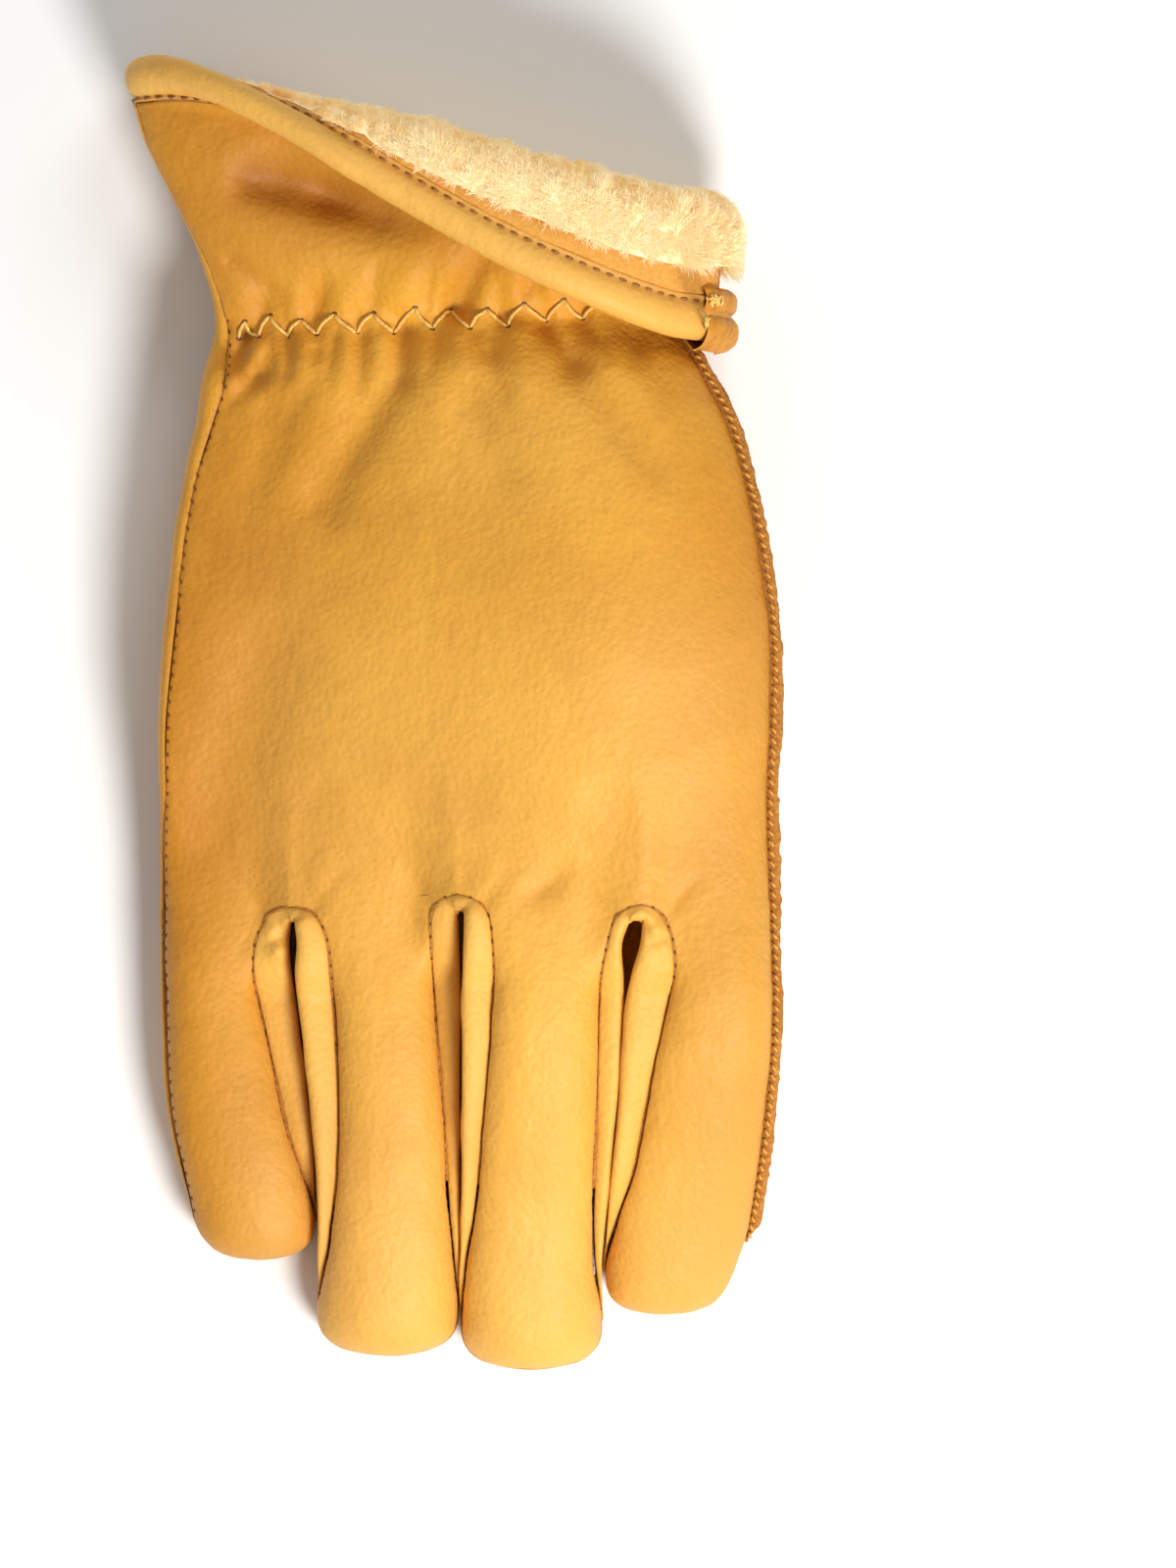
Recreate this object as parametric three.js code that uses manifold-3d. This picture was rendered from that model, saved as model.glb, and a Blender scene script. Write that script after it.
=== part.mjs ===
// Pile lined leather work glove, right hand, lying back up with its cuff turned back.
// Millimetres. X runs to the index-finger side, Y from the fingertips to the cuff, Z up.
import * as THREE from 'three';
import Module from 'manifold-3d';
import { mergeVertices } from 'three/addons/utils/BufferGeometryUtils.js';

// Leather, lining and seams.
const leatherThick = 2.2;
const pileThick = 4.3;
const seamGap = 0.3;
const hemWide = 8.5;
const hemThick = 5.6;
const seamFlange = 2.4;

// The palm rests on the thumb, so the index side lies higher than the little-finger side.
const thumbLift = 22.5;
const liftFromX = -50;
const liftToX = 38;
const wristY = 77;

// Turned-back cuff: the leather rolls over with this radius. The knots are the shares of the
// rows that end on the straight wall and on the roll.
const rollRadius = 2.6;
const wallKnot = 0.48;
const rollKnot = 0.84;

// Places of the points across one finger's width, and which of the back's meet the palm's.
const shares = { back: [0, 1 / 6, 1 / 3, 1 / 2, 2 / 3, 5 / 6, 1], palm: [0, 0.17, 0.83, 1] };
const backAcross = shares.back.length - 1;
const palmAcross = shares.palm.length - 1;
const backForPalm = [0, 1, 5, 6];

// How many faces down a side wall and along the hand and the cuff.
const sideSteps = 3;
const handRows = 12;
const cuffRows = 11;
const liningFromRow = 4;

// Outline of the hand and of the cuff tube, a row per section.
// left and right are the widest points, seam is the little-finger seam on the back.
const handOutline = [
  { y: 128, left: -64.4, seam: -64.0, right: 48.0, thick: 40, rise: 0.30 },
  { y: 112, left: -60.2, seam: -59.8, right: 47.0, thick: 41, rise: 0.30 },
  { y: 100, left: -54.5, seam: -54.0, right: 45.2, thick: 40, rise: 0.32 },
  { y: 90, left: -49.6, seam: -48.8, right: 43.6, thick: 38, rise: 0.38 },
  { y: 77, left: -46.8, seam: -44.4, right: 43.4, thick: 31.5, rise: 0.50 },
  { y: 66, left: -49.0, seam: -44.2, right: 48.6, thick: 35, rise: 0.64 },
  { y: 58, left: -50.0, seam: -46.4, right: 52.8, thick: 35, rise: 0.76 },
  { y: 47, left: -52.6, seam: -49.9, right: 56.2, thick: 35, rise: 0.88 },
  { y: 34, left: -54.8, seam: -52.4, right: 59.2, thick: 35, rise: 0.97 },
  { y: 16, left: -56.5, seam: -54.3, right: 61.6, thick: 35, rise: 1.00 },
  { y: 0, left: -57.3, seam: -55.9, right: 61.6, thick: 33, rise: 1.00 },
  { y: -18, left: -57.3, seam: -56.2, right: 60.9, thick: 30, rise: 1.00 },
  { y: -36, left: -57.6, seam: -56.6, right: 61.5, thick: 27, rise: 1.00 },
  { y: -60, left: -57.1, seam: -56.2, right: 62.0, thick: 26, rise: 0.96 },
  { y: -80, left: -55.6, seam: -54.6, right: 60.4, thick: 25, rise: 0.60 },
  { y: -100, left: -50.6, seam: -50.2, right: 57.2, thick: 24, rise: 0.14 },
  { y: -112, left: -48.0, seam: -47.6, right: 53.4, thick: 24, rise: 0.00 },
  { y: -130, left: -48.0, seam: -47.6, right: 52.4, thick: 24, rise: 0.00 },
];

// Slits between the fingers: edges of the back leather, and the line where the fingers touch.
const slits = [
  [
    { y: -36.8, left: -31.4, gap: -31.4, right: -31.4, open: 0.9 },
    { y: -38.0, left: -35.0, gap: -31.3, right: -27.8, open: 0.8 },
    { y: -40.0, left: -37.0, gap: -31.3, right: -25.9, open: 0.7 },
    { y: -44.0, left: -38.7, gap: -31.3, right: -24.5, open: 0.6 },
    { y: -50.0, left: -39.0, gap: -31.2, right: -23.9, open: 0.6 },
    { y: -60.0, left: -37.0, gap: -30.0, right: -23.0, open: 0.6 },
    { y: -72.0, left: -34.4, gap: -28.6, right: -22.5, open: 0.5 },
    { y: -86.0, left: -31.5, gap: -27.3, right: -22.5, open: 0.5 },
    { y: -100.0, left: -28.9, gap: -26.9, right: -23.4, open: 0.5 },
  ],
  [
    { y: -34.3, left: 0.8, gap: 0.8, right: 0.8, open: 0.9 },
    { y: -36.0, left: -2.4, gap: 1.2, right: 4.6, open: 0.7 },
    { y: -38.5, left: -4.2, gap: 1.5, right: 6.8, open: 0.7 },
    { y: -43.0, left: -4.4, gap: 1.5, right: 7.5, open: 0.7 },
    { y: -52.0, left: -3.9, gap: 1.5, right: 7.8, open: 0.7 },
    { y: -67.0, left: -3.0, gap: 1.4, right: 6.9, open: 0.5 },
    { y: -81.0, left: -1.9, gap: 1.3, right: 5.6, open: 0.5 },
    { y: -95.0, left: -1.2, gap: 1.2, right: 4.2, open: 0.5 },
    { y: -108.0, left: -0.7, gap: 1.0, right: 2.6, open: 0.5 },
  ],
  [
    { y: -36.2, left: 36.5, gap: 36.5, right: 36.5, open: 0.7 },
    { y: -38.0, left: 32.5, gap: 35.6, right: 39.5, open: 0.6 },
    { y: -40.0, left: 30.8, gap: 35.1, right: 41.3, open: 0.7 },
    { y: -44.0, left: 29.7, gap: 34.3, right: 42.5, open: 0.6 },
    { y: -50.0, left: 28.6, gap: 33.6, right: 42.7, open: 0.9 },
    { y: -58.0, left: 28.1, gap: 32.9, right: 41.0, open: 0.6 },
    { y: -70.0, left: 27.8, gap: 32.3, right: 38.2, open: 0.5 },
    { y: -85.0, left: 27.3, gap: 30.8, right: 35.5, open: 0.5 },
    { y: -98.0, left: 26.8, gap: 29.6, right: 32.6, open: 0.5 },
    { y: -106.0, left: 26.4, gap: 29.0, right: 30.9, open: 0.5 },
  ],
];

// Fingers from the little finger to the index finger.
const fingers = [
  { tipX: -38.6, tipY: -105.9, high: 23, centre: -44 },
  { tipX: -12.8, tipY: -124.5, high: 25, centre: -15 },
  { tipX: 14.4, tipY: -127.4, high: 26, centre: 15 },
  { tipX: 41.6, tipY: -116.8, high: 24, centre: 47 },
];

// Rows along a finger, as a share of the way from the slit top to the tip.
const fingerRows = [0, 0.02, 0.05, 0.1, 0.2, 0.34, 0.5, 0.66, 0.8, 0.89, 0.95, 0.985, 1];
const stripTaperFrom = 0.6;
const stripEndRow = 9;
const stripHalfHeight = 6.5;

// How much farther the middle of a fingertip reaches than its corners.
const tipBow = 2.0;
// Length over which a finger narrows and thins to its tip, and the width of the tip's own seam.
const tipNarrows = 10;
const tipThins = 12.8;
const tipSeamShare = 0.66;

// Turned cuff, a row per place across the hand: the fold line, how far the cuff turns over
// in half turns, how far the turned part runs back from the fold line in plan, and how far
// it reaches below the palm side, which is held off the floor by as much.
const cuffTurn = [
  { across: 0.0, fold: 126.6, turn: 0.08, back: 0, drop: 1.0 },
  { across: 0.1, fold: 125.4, turn: 0.30, back: 2, drop: 10.0 },
  { across: 0.2, fold: 123.3, turn: 0.52, back: 7, drop: 14.5 },
  { across: 0.3, fold: 120.4, turn: 0.71, back: 12, drop: 13.8 },
  { across: 0.38, fold: 118.6, turn: 0.89, back: 17.5, drop: 13.2 },
  { across: 0.45, fold: 116.9, turn: 0.98, back: 19.6, drop: 12.9 },
  { across: 0.62, fold: 111.5, turn: 1.0, back: 24.4, drop: 12.7 },
  { across: 0.78, fold: 106.8, turn: 1.0, back: 27.5, drop: 12.7 },
  { across: 0.92, fold: 103.6, turn: 1.0, back: 30.2, drop: 12.7 },
  { across: 1.0, fold: 101.4, turn: 1.0, back: 29.3, drop: 12.7 },
];

// Dents and folds in the back leather, a row per valley.
const folds = [
  { x1: -46, y1: 74, x2: -38, y2: 66, wide: 2.6, deep: 2.6 },
  { x1: -38, y1: 80, x2: -36, y2: 70, wide: 1.9, deep: 1.3 },
  { x1: -28, y1: 82, x2: -27, y2: 71, wide: 1.9, deep: 1.2 },
  { x1: -9, y1: 75, x2: -25, y2: 42, wide: 4.6, deep: 2.0 },
  { x1: -32, y1: 105, x2: -16, y2: 97, wide: 6.5, deep: 3.2 },
  { x1: -1, y1: 82, x2: -2, y2: 72, wide: 2.0, deep: 1.2 },
  { x1: 9, y1: 82, x2: 8, y2: 70, wide: 2.0, deep: 1.3 },
  { x1: 22, y1: 76, x2: 24, y2: 68, wide: 3.0, deep: 2.2 },
  { x1: 36, y1: 80, x2: 35, y2: 70, wide: 2.4, deep: 1.4 },
  { x1: -31, y1: -34, x2: -27, y2: -14, wide: 4.0, deep: 2.6 },
  { x1: 1, y1: -32, x2: 4, y2: -12, wide: 4.0, deep: 2.2 },
  { x1: 36, y1: -34, x2: 31, y2: -16, wide: 4.0, deep: 2.6 },
  { x1: -36, y1: 10, x2: -48, y2: -24, wide: 9.0, deep: 2.4 },
  { x1: 16, y1: -34, x2: 20, y2: -31, wide: 3.0, deep: 1.2 },
];

// Thumb, sections from the open root inside the palm to the tip.
const thumb = [
  { y: 47, x: 34.0, z: 36.0, wide: 24, high: 15 },
  { y: 40, x: 35.0, z: 27.5, wide: 27, high: 21 },
  { y: 31, x: 37.0, z: 18.5, wide: 31, high: 25 },
  { y: 22, x: 39.0, z: 12.4, wide: 34, high: 23 },
  { y: 10, x: 40.5, z: 9.4, wide: 35, high: 21.4 },
  { y: -8, x: 42.0, z: 9.2, wide: 33, high: 21.0 },
  { y: -26, x: 43.5, z: 9.0, wide: 31, high: 20.4 },
  { y: -42, x: 44.5, z: 8.7, wide: 29, high: 19.8 },
  { y: -54, x: 45.0, z: 8.2, wide: 27, high: 18.6 },
  { y: -61, x: 45.2, z: 8.2, wide: 22, high: 15.6 },
  { y: -65, x: 45.3, z: 8.3, wide: 15, high: 11.0 },
  { y: -67, x: 45.3, z: 8.3, wide: 6, high: 4.5 },
];
const thumbAround = 12;

const clamp01 = (value) => Math.min(Math.max(value, 0), 1);
const mix = (a, b, share) => a + (b - a) * share;
const smooth = (share) => {
  const held = clamp01(share);
  return held * held * (3 - 2 * held);
};

// Smooth reading of one column of a table whose key column rises or falls.
function read(table, key, value, column) {
  const rising = table[table.length - 1][key] > table[0][key];
  let row = 0;
  while (row < table.length - 2 && (table[row + 1][key] < value) === rising) {
    row += 1;
  }
  const a = table[row];
  const b = table[row + 1];
  const before = table[Math.max(row - 1, 0)];
  const after = table[Math.min(row + 2, table.length - 1)];
  const span = b[key] - a[key];
  const share = clamp01((value - a[key]) / span);
  const slopeA = ((b[column] - before[column]) / (b[key] - before[key])) * span;
  const slopeB = ((after[column] - a[column]) / (after[key] - a[key])) * span;
  const s2 = share * share;
  const s3 = s2 * share;
  return (2 * s3 - 3 * s2 + 1) * a[column] + (s3 - 2 * s2 + share) * slopeA
    + (3 * s2 - 2 * s3) * b[column] + (s3 - s2) * slopeB;
}

const outlineAt = (y, column) => read(handOutline, 'y', y, column);

// Height of the underside above the floor.
function liftAt(x, y) {
  const ramp = smooth((x - liftFromX) / (liftToX - liftFromX));
  return thumbLift * ramp * outlineAt(y, 'rise');
}

// Rounded profile across a piece, from 0 at both edges to 1 in the middle.
const arch = (across, power) => Math.sqrt(Math.max(1 - Math.abs(across) ** power, 0));

// Drop of the back leather at its folds and dents.
function foldDepth(x, y) {
  let depth = 0;
  for (const fold of folds) {
    const dx = fold.x2 - fold.x1;
    const dy = fold.y2 - fold.y1;
    const along = clamp01(((x - fold.x1) * dx + (y - fold.y1) * dy) / (dx * dx + dy * dy));
    const far = Math.hypot(x - fold.x1 - dx * along, y - fold.y1 - dy * along);
    depth += fold.deep * Math.exp(-((far / fold.wide) ** 2));
  }
  return depth;
}

// Edge of the back leather on a finger: side 0 is towards the little finger.
function fingerEdge(index, side, y) {
  if (index === 0 && side === 0) {
    return outlineAt(y, 'seam');
  }
  if (index === 3 && side === 1) {
    return outlineAt(y, 'right') - 0.4;
  }
  const slit = slits[side === 0 ? index - 1 : index];
  const held = Math.max(Math.min(y, slit[0].y), slit[slit.length - 1].y);
  return read(slit, 'y', held, side === 0 ? 'right' : 'left');
}

// Widest point of a finger on one side.
function fingerSide(index, side, y) {
  if (index === 0 && side === 0) {
    return outlineAt(y, 'left');
  }
  if (index === 3 && side === 1) {
    return outlineAt(y, 'right');
  }
  const slit = slits[side === 0 ? index - 1 : index];
  const held = Math.max(Math.min(y, slit[0].y), slit[slit.length - 1].y);
  return read(slit, 'y', held, 'gap') + (side === 0 ? 1 : -1) * read(slit, 'y', held, 'open');
}

const slitTopY = (index, side) => {
  const number = side === 0 ? index - 1 : index;
  return slits[Math.min(Math.max(number, 0), 2)][0].y;
};
const crotchY = (index, u) => mix(slitTopY(index, 0), slitTopY(index, 1), u);

// How much of its full size a finger has near its tip.
function tipShare(index, y) {
  const finger = fingers[index];
  const toTip = clamp01((y - finger.tipY) / tipNarrows);
  return Math.max((1 - (1 - toTip) ** 3.2) ** (1 / 3.2), tipSeamShare);
}

// The same for its height, which stays full for longer.
function tipHeightShare(index, y) {
  const finger = fingers[index];
  const toTip = clamp01((y - finger.tipY) / tipThins);
  return (1 - (1 - toTip) ** 3) ** (1 / 3);
}

// Back and palm heights where the fingers are one hand.
function handHeights(x, y) {
  const low = outlineAt(y, 'left');
  const high = outlineAt(y, 'right');
  const across = clamp01((x - low) / (high - low)) * 2 - 1;
  const thick = outlineAt(y, 'thick');
  const middle = liftAt(x, y) + thick / 2;
  const seamHeight = mix(9, 1.5, (across + 1) / 2);
  const top = middle + seamHeight + (thick / 2 - seamHeight) * arch(across, 2.8);
  const bottom = middle - 1.5 - (thick / 2 - 0.4) * arch(across, 4.5);
  return { top, bottom };
}

// Back and palm heights on one finger.
function fingerHeights(index, u, y, strip) {
  const finger = fingers[index];
  const size = tipHeightShare(index, y);
  const across = 2 * u - 1;
  const lift = liftAt(finger.centre, y);
  const middle = lift + finger.high * mix(0.36, 0.48, smooth((y - finger.tipY) / 24));
  const half = (finger.high / 2) * size;
  const outer = (index === 0 && u < 0.5) || (index === 3 && u > 0.5);
  const edge = outer ? Math.min(mix(1.5, strip, 0.4), half) : Math.min(strip, half);
  const top = middle + edge + (half - edge) * arch(across, 2.4);
  const bottom = middle - edge - (half + 0.6 - edge) * arch(across, 3.6);
  return { top, bottom };
}

// How far the back at a place has turned from one hand into separate fingers. It stays one
// hand for longer beside the slits.
function knuckleShare(index, u, y) {
  const outer = (index === 0 && u < 0.5) || (index === 3 && u > 0.5);
  const beside = outer ? 0 : Math.abs(2 * u - 1) ** 3;
  const below = smooth((crotchY(index, u) - y) / 18);
  return smooth((-8 - y) / 38) * (1 - 0.75 * (1 - below) * beside);
}

// Half the height of a side strip in a row. The strip tapers to a blunt end near the fingertip.
function stripHeight(row) {
  const length = fingerRows[stripEndRow] - stripTaperFrom;
  const taper = Math.min(Math.max((fingerRows[row] - stripTaperFrom) / length, 0), 1);
  return stripHalfHeight * (1 - taper ** 2);
}

// Height of a point that the floor may hold up.
const rested = (z) => Math.max(z, 0);

// Point of the back or the palm in the hand and cuff tube.
function handPoint(face, index, u, y) {
  const inset = face === 'back' ? 0 : 4;
  const lines = [
    face === 'back' ? outlineAt(y, 'seam') : outlineAt(y, 'left') + inset,
    slits[0][0].gap,
    slits[1][0].gap,
    slits[2][0].gap,
    outlineAt(y, 'right') - 0.4 - inset,
  ];
  if (y > wristY - 30) {
    const narrow = smooth((y - wristY + 30) / 30);
    for (const line of [1, 2, 3]) {
      lines[line] = mix(lines[line], mix(lines[0], lines[4], line / 4), narrow);
    }
  }
  const x = mix(lines[index], lines[index + 1], u);
  const heights = handHeights(x, y);
  const knuckle = smooth((-8 - y) / 38);
  const own = fingerHeights(index, u, y, stripHalfHeight);
  if (face === 'back') {
    const z = mix(heights.top, own.top, knuckleShare(index, u, y)) - foldDepth(x, y);
    return new THREE.Vector3(x, y, z);
  }
  const bottom = rested(mix(heights.bottom, own.bottom, knuckle));
  const held = smooth((y - 42) / 24) * read(cuffTurn, 'across', (index + u) / 4, 'drop');
  return new THREE.Vector3(x, y, Math.max(bottom, held));
}

// Point of the back or the palm on a finger below its slits.
function fingerPoint(face, index, u, row) {
  const finger = fingers[index];
  const y = mix(crotchY(index, u), finger.tipY, fingerRows[row]);
  const size = tipShare(index, y);
  const strip = stripHeight(row) / stripHalfHeight;
  const left = mix(fingerSide(index, 0, y), fingerEdge(index, 0, y), strip);
  const right = mix(fingerSide(index, 1, y), fingerEdge(index, 1, y), strip);
  const x = finger.tipX + (mix(left, right, u) - finger.tipX) * size;
  const heights = fingerHeights(index, u, y, stripHeight(row));
  const hand = handHeights(x, y);
  const knuckle = smooth((-8 - y) / 38);
  const rounded = y + tipBow * (2 * u - 1) ** 2 * smooth((fingerRows[row] - 0.88) / 0.12);
  if (face === 'back') {
    const z = mix(hand.top, heights.top, knuckleShare(index, u, y)) - foldDepth(x, y);
    return new THREE.Vector3(x, rounded, z);
  }
  const z = rested(mix(hand.bottom, heights.bottom, knuckle));
  return new THREE.Vector3(x, rounded, z);
}

// The skin of the glove: shared points, and triangles kept by piece name.
const skin = { points: [], pieces: {} };

function addPoint(point) {
  skin.points.push(point);
  return skin.points.length - 1;
}

function addQuad(piece, a, b, c, d) {
  skin.pieces[piece] ??= [];
  for (const face of [[a, b, c], [a, c, d]]) {
    if (new Set(face).size === 3) {
      skin.pieces[piece].push(face);
    }
  }
}

// Side wall between a back edge point and a palm edge point, bulging to its widest x.
function sidePoint(top, bottom, widest, share) {
  const down = share - 0.12 * Math.sin(2 * Math.PI * share);
  const point = top.clone().lerp(bottom, down);
  point.x += (widest - point.x) * Math.min(1.12 * Math.sin(Math.PI * share) ** 0.7, 1);
  return point;
}

function sideWall(top, bottom, widest) {
  if (top === bottom) {
    return new Array(sideSteps + 1).fill(top);
  }
  const line = [top];
  for (let step = 1; step < sideSteps; step += 1) {
    const share = step / sideSteps;
    line.push(addPoint(sidePoint(skin.points[top], skin.points[bottom], widest, share)));
  }
  line.push(bottom);
  return line;
}

function joinRows(piece, upper, lower, flip) {
  for (let k = 0; k < upper.length - 1; k += 1) {
    if (flip) {
      addQuad(piece, upper[k], upper[k + 1], lower[k + 1], lower[k]);
    } else {
      addQuad(piece, upper[k], lower[k], lower[k + 1], upper[k + 1]);
    }
  }
}

// Points of one face across all four finger columns.
function acrossRow(face, pointOf) {
  const row = [];
  for (let index = 0; index < 4; index += 1) {
    shares[face].slice(index === 0 ? 0 : 1).forEach((u) => {
      row.push(addPoint(pointOf(face, index, u)));
    });
  }
  return row;
}

// Rings of the hand from the wrist to the slit tops.
function buildHand() {
  const rings = [];
  for (let row = 0; row <= handRows; row += 1) {
    const pointOf = (face, index, u) => {
      const y = mix(wristY, crotchY(index, u), row / handRows);
      return row === handRows ? fingerPoint(face, index, u, 0) : handPoint(face, index, u, y);
    };
    const back = acrossRow('back', pointOf);
    const palm = acrossRow('palm', pointOf);
    const leftY = skin.points[back[0]].y;
    const rightY = skin.points[back.at(-1)].y;
    const left = sideWall(back[0], palm[0], outlineAt(leftY, 'left'));
    const right = sideWall(back.at(-1), palm.at(-1), outlineAt(rightY, 'right'));
    rings.push({ back, palm, left, right });
  }
  return rings;
}

// Direction that faces out of the cuff tube, in the plane across it.
function cuffOutward(face, across, u) {
  const side = across * 2 - 1;
  let turned = side ** 3 * 1.1;
  if (face === 'left' || face === 'right') {
    turned = Math.sign(side) * mix(1.1, Math.PI - 1.1, u);
  } else if (face === 'palm') {
    turned = Math.PI - turned;
  }
  return new THREE.Vector3(Math.sin(turned), 0, Math.cos(turned));
}

// Point of the straight cuff tube before it is turned back.
function cuffTube(face, index, u, y) {
  if (face === 'back' || face === 'palm') {
    return handPoint(face, index, u, y);
  }
  const end = index === 0 ? 0 : 1;
  const top = handPoint('back', index, end, y);
  const bottom = handPoint('palm', index, end, y);
  return sidePoint(top, bottom, outlineAt(y, face), u);
}

// How the cuff runs at one place across: wall, roll and turned part.
function cuffRun(across) {
  const turn = Math.PI * read(cuffTurn, 'across', across, 'turn');
  const back = read(cuffTurn, 'across', across, 'back');
  const rollDeep = rollRadius + leatherThick + pileThick;
  const wallEnd = read(cuffTurn, 'across', across, 'fold') - rollDeep;
  return { turn, wallEnd, flat: Math.max(back - rollDeep - seamGap - hemWide, 0.4) };
}

// Place across the hand of a point on the cuff.
function cuffAcross(face, index, u) {
  if (face === 'back' || face === 'palm') {
    return (index + u) / 4;
  }
  return face === 'left' ? 0 : 1;
}

// How far along the cuff a share of its rows comes, with the knots at the ends of wall and roll.
function cuffFar(run, lengths, share) {
  const [wall, roll, flat] = lengths;
  let knotted;
  if (share <= wallKnot) {
    knotted = (share / wallKnot) * wall;
  } else if (share <= rollKnot) {
    knotted = wall + ((share - wallKnot) / (rollKnot - wallKnot)) * roll;
  } else {
    knotted = wall + roll + ((share - rollKnot) / (1 - rollKnot)) * flat;
  }
  return mix(share * (wall + roll + flat), knotted, smooth(run.turn / 2.2));
}

// Point on the cuff after a share of its rows, with the directions along it and into it.
function cuffPoint(face, index, u, share) {
  const across = cuffAcross(face, index, u);
  const run = cuffRun(across);
  const out = cuffOutward(face, across, u);
  const lengths = [run.wallEnd - wristY, rollRadius * run.turn, run.flat];
  const far = cuffFar(run, lengths, share);
  const inRoll = Math.min(Math.max(far - lengths[0], 0), lengths[1]);
  const beyond = Math.max(far - lengths[0] - lengths[1], 0);
  const angle = inRoll / rollRadius;
  const y = wristY + Math.min(far, lengths[0]) + rollRadius * Math.sin(angle)
    + beyond * Math.cos(angle);
  const away = rollRadius * (1 - Math.cos(angle)) + beyond * Math.sin(angle);
  const point = cuffTube(face, index, u, y).addScaledVector(out, away);
  const runs = new THREE.Vector3(0, Math.cos(angle), 0).addScaledVector(out, Math.sin(angle));
  const inward = new THREE.Vector3(0, Math.sin(angle), 0).addScaledVector(out, -Math.cos(angle));
  return { point, runs, inward };
}

// Rings of the cuff above the wrist ring.
function buildCuff(wristRing) {
  const rings = [wristRing];
  for (let row = 1; row <= cuffRows; row += 1) {
    const pointOf = (face, index, u) => cuffPoint(face, index, u, row / cuffRows).point;
    const back = acrossRow('back', pointOf);
    const palm = acrossRow('palm', pointOf);
    const side = (face, index, top, bottom) => {
      const line = [top];
      for (let step = 1; step < sideSteps; step += 1) {
        line.push(addPoint(pointOf(face, index, step / sideSteps)));
      }
      line.push(bottom);
      return line;
    };
    const left = side('left', 0, back[0], palm[0]);
    const right = side('right', 3, back.at(-1), palm.at(-1));
    rings.push({ back, palm, left, right });
  }
  return rings;
}

// Joins rings that are listed from the fingers towards the rim.
function joinRings(rings, pieces) {
  for (let row = 0; row < rings.length - 1; row += 1) {
    const lower = rings[row];
    const upper = rings[row + 1];
    joinRows(pieces.back, upper.back, lower.back, false);
    joinRows(pieces.palm, upper.palm, lower.palm, true);
    joinRows(pieces.palm, upper.left, lower.left, true);
    joinRows(pieces.palm, upper.right, lower.right, false);
  }
}

// Finger tubes below the last hand ring.
function buildFingers(lastRing) {
  const palmPieces = ['palm_panel', 'finger_front_ring', 'finger_front_middle', 'palm_panel'];
  return fingers.map((finger, index) => {
    const backRows = [lastRing.back.slice(index * backAcross, (index + 1) * backAcross + 1)];
    const palmRows = [lastRing.palm.slice(index * palmAcross, (index + 1) * palmAcross + 1)];
    for (let row = 1; row < fingerRows.length; row += 1) {
      const tip = row === fingerRows.length - 1;
      const back = [];
      for (let k = 0; k <= backAcross; k += 1) {
        back.push(addPoint(fingerPoint('back', index, shares.back[k], row)));
      }
      const palm = [];
      for (let k = 0; k <= palmAcross; k += 1) {
        const edge = k === 0 || k === palmAcross;
        if (tip || (edge && row >= stripEndRow)) {
          palm.push(back[backForPalm[k]]);
        } else {
          palm.push(addPoint(fingerPoint('palm', index, shares.palm[k], row)));
        }
      }
      backRows.push(back);
      palmRows.push(palm);
    }
    for (let row = 0; row < fingerRows.length - 1; row += 1) {
      joinRows('back_panel', backRows[row], backRows[row + 1], false);
      joinRows(palmPieces[index], palmRows[row], palmRows[row + 1], true);
    }
    return { backRows, palmRows };
  });
}

// Side strip along one side of a finger, from its slit top to near its tip.
function stripLines(columns, index, side, fromLine) {
  const lines = [fromLine];
  for (let row = 1; row <= stripEndRow; row += 1) {
    const end = side === 0 ? 0 : -1;
    const top = columns[index].backRows[row].at(end);
    const bottom = columns[index].palmRows[row].at(end);
    const y = skin.points[top].y;
    const size = tipShare(index, y);
    const widest = mix(fingers[index].tipX, fingerSide(index, side, y), size);
    lines.push(sideWall(top, bottom, widest));
  }
  return lines;
}

// U-shaped strips between the fingers, and the outer walls of the little and index fingers.
function buildStrips(columns, lastRing) {
  const names = ['fourchette_little_ring', 'fourchette_ring_middle', 'fourchette_middle_index'];
  names.forEach((name, number) => {
    const top = columns[number].backRows[0].at(-1);
    const bottom = columns[number].palmRows[0].at(-1);
    const crotch = sideWall(top, bottom, slits[number][0].gap);
    const before = stripLines(columns, number, 1, crotch);
    const after = stripLines(columns, number + 1, 0, crotch);
    for (let row = 0; row < stripEndRow; row += 1) {
      joinRows(name, before[row + 1], before[row], true);
      joinRows(name, after[row], after[row + 1], true);
    }
  });
  const outerLeft = stripLines(columns, 0, 0, lastRing.left);
  const outerRight = stripLines(columns, 3, 1, lastRing.right);
  for (let row = 0; row < stripEndRow; row += 1) {
    joinRows('palm_panel', outerLeft[row], outerLeft[row + 1], true);
    joinRows('palm_panel', outerRight[row], outerRight[row + 1], false);
  }
}

// Normal of a triangle, as long as twice its area.
function faceNormal(face) {
  const [a, b, c] = face.map((number) => skin.points[number]);
  return b.clone().sub(a).cross(c.clone().sub(a));
}

// Normals of points over all the triangles given.
function pointNormals(faces) {
  const normals = new Map();
  for (const face of faces) {
    const normal = faceNormal(face);
    for (const number of face) {
      const sum = normals.get(number) ?? new THREE.Vector3();
      normals.set(number, sum.add(normal));
    }
  }
  for (const normal of normals.values()) {
    normal.normalize();
  }
  return normals;
}

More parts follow.
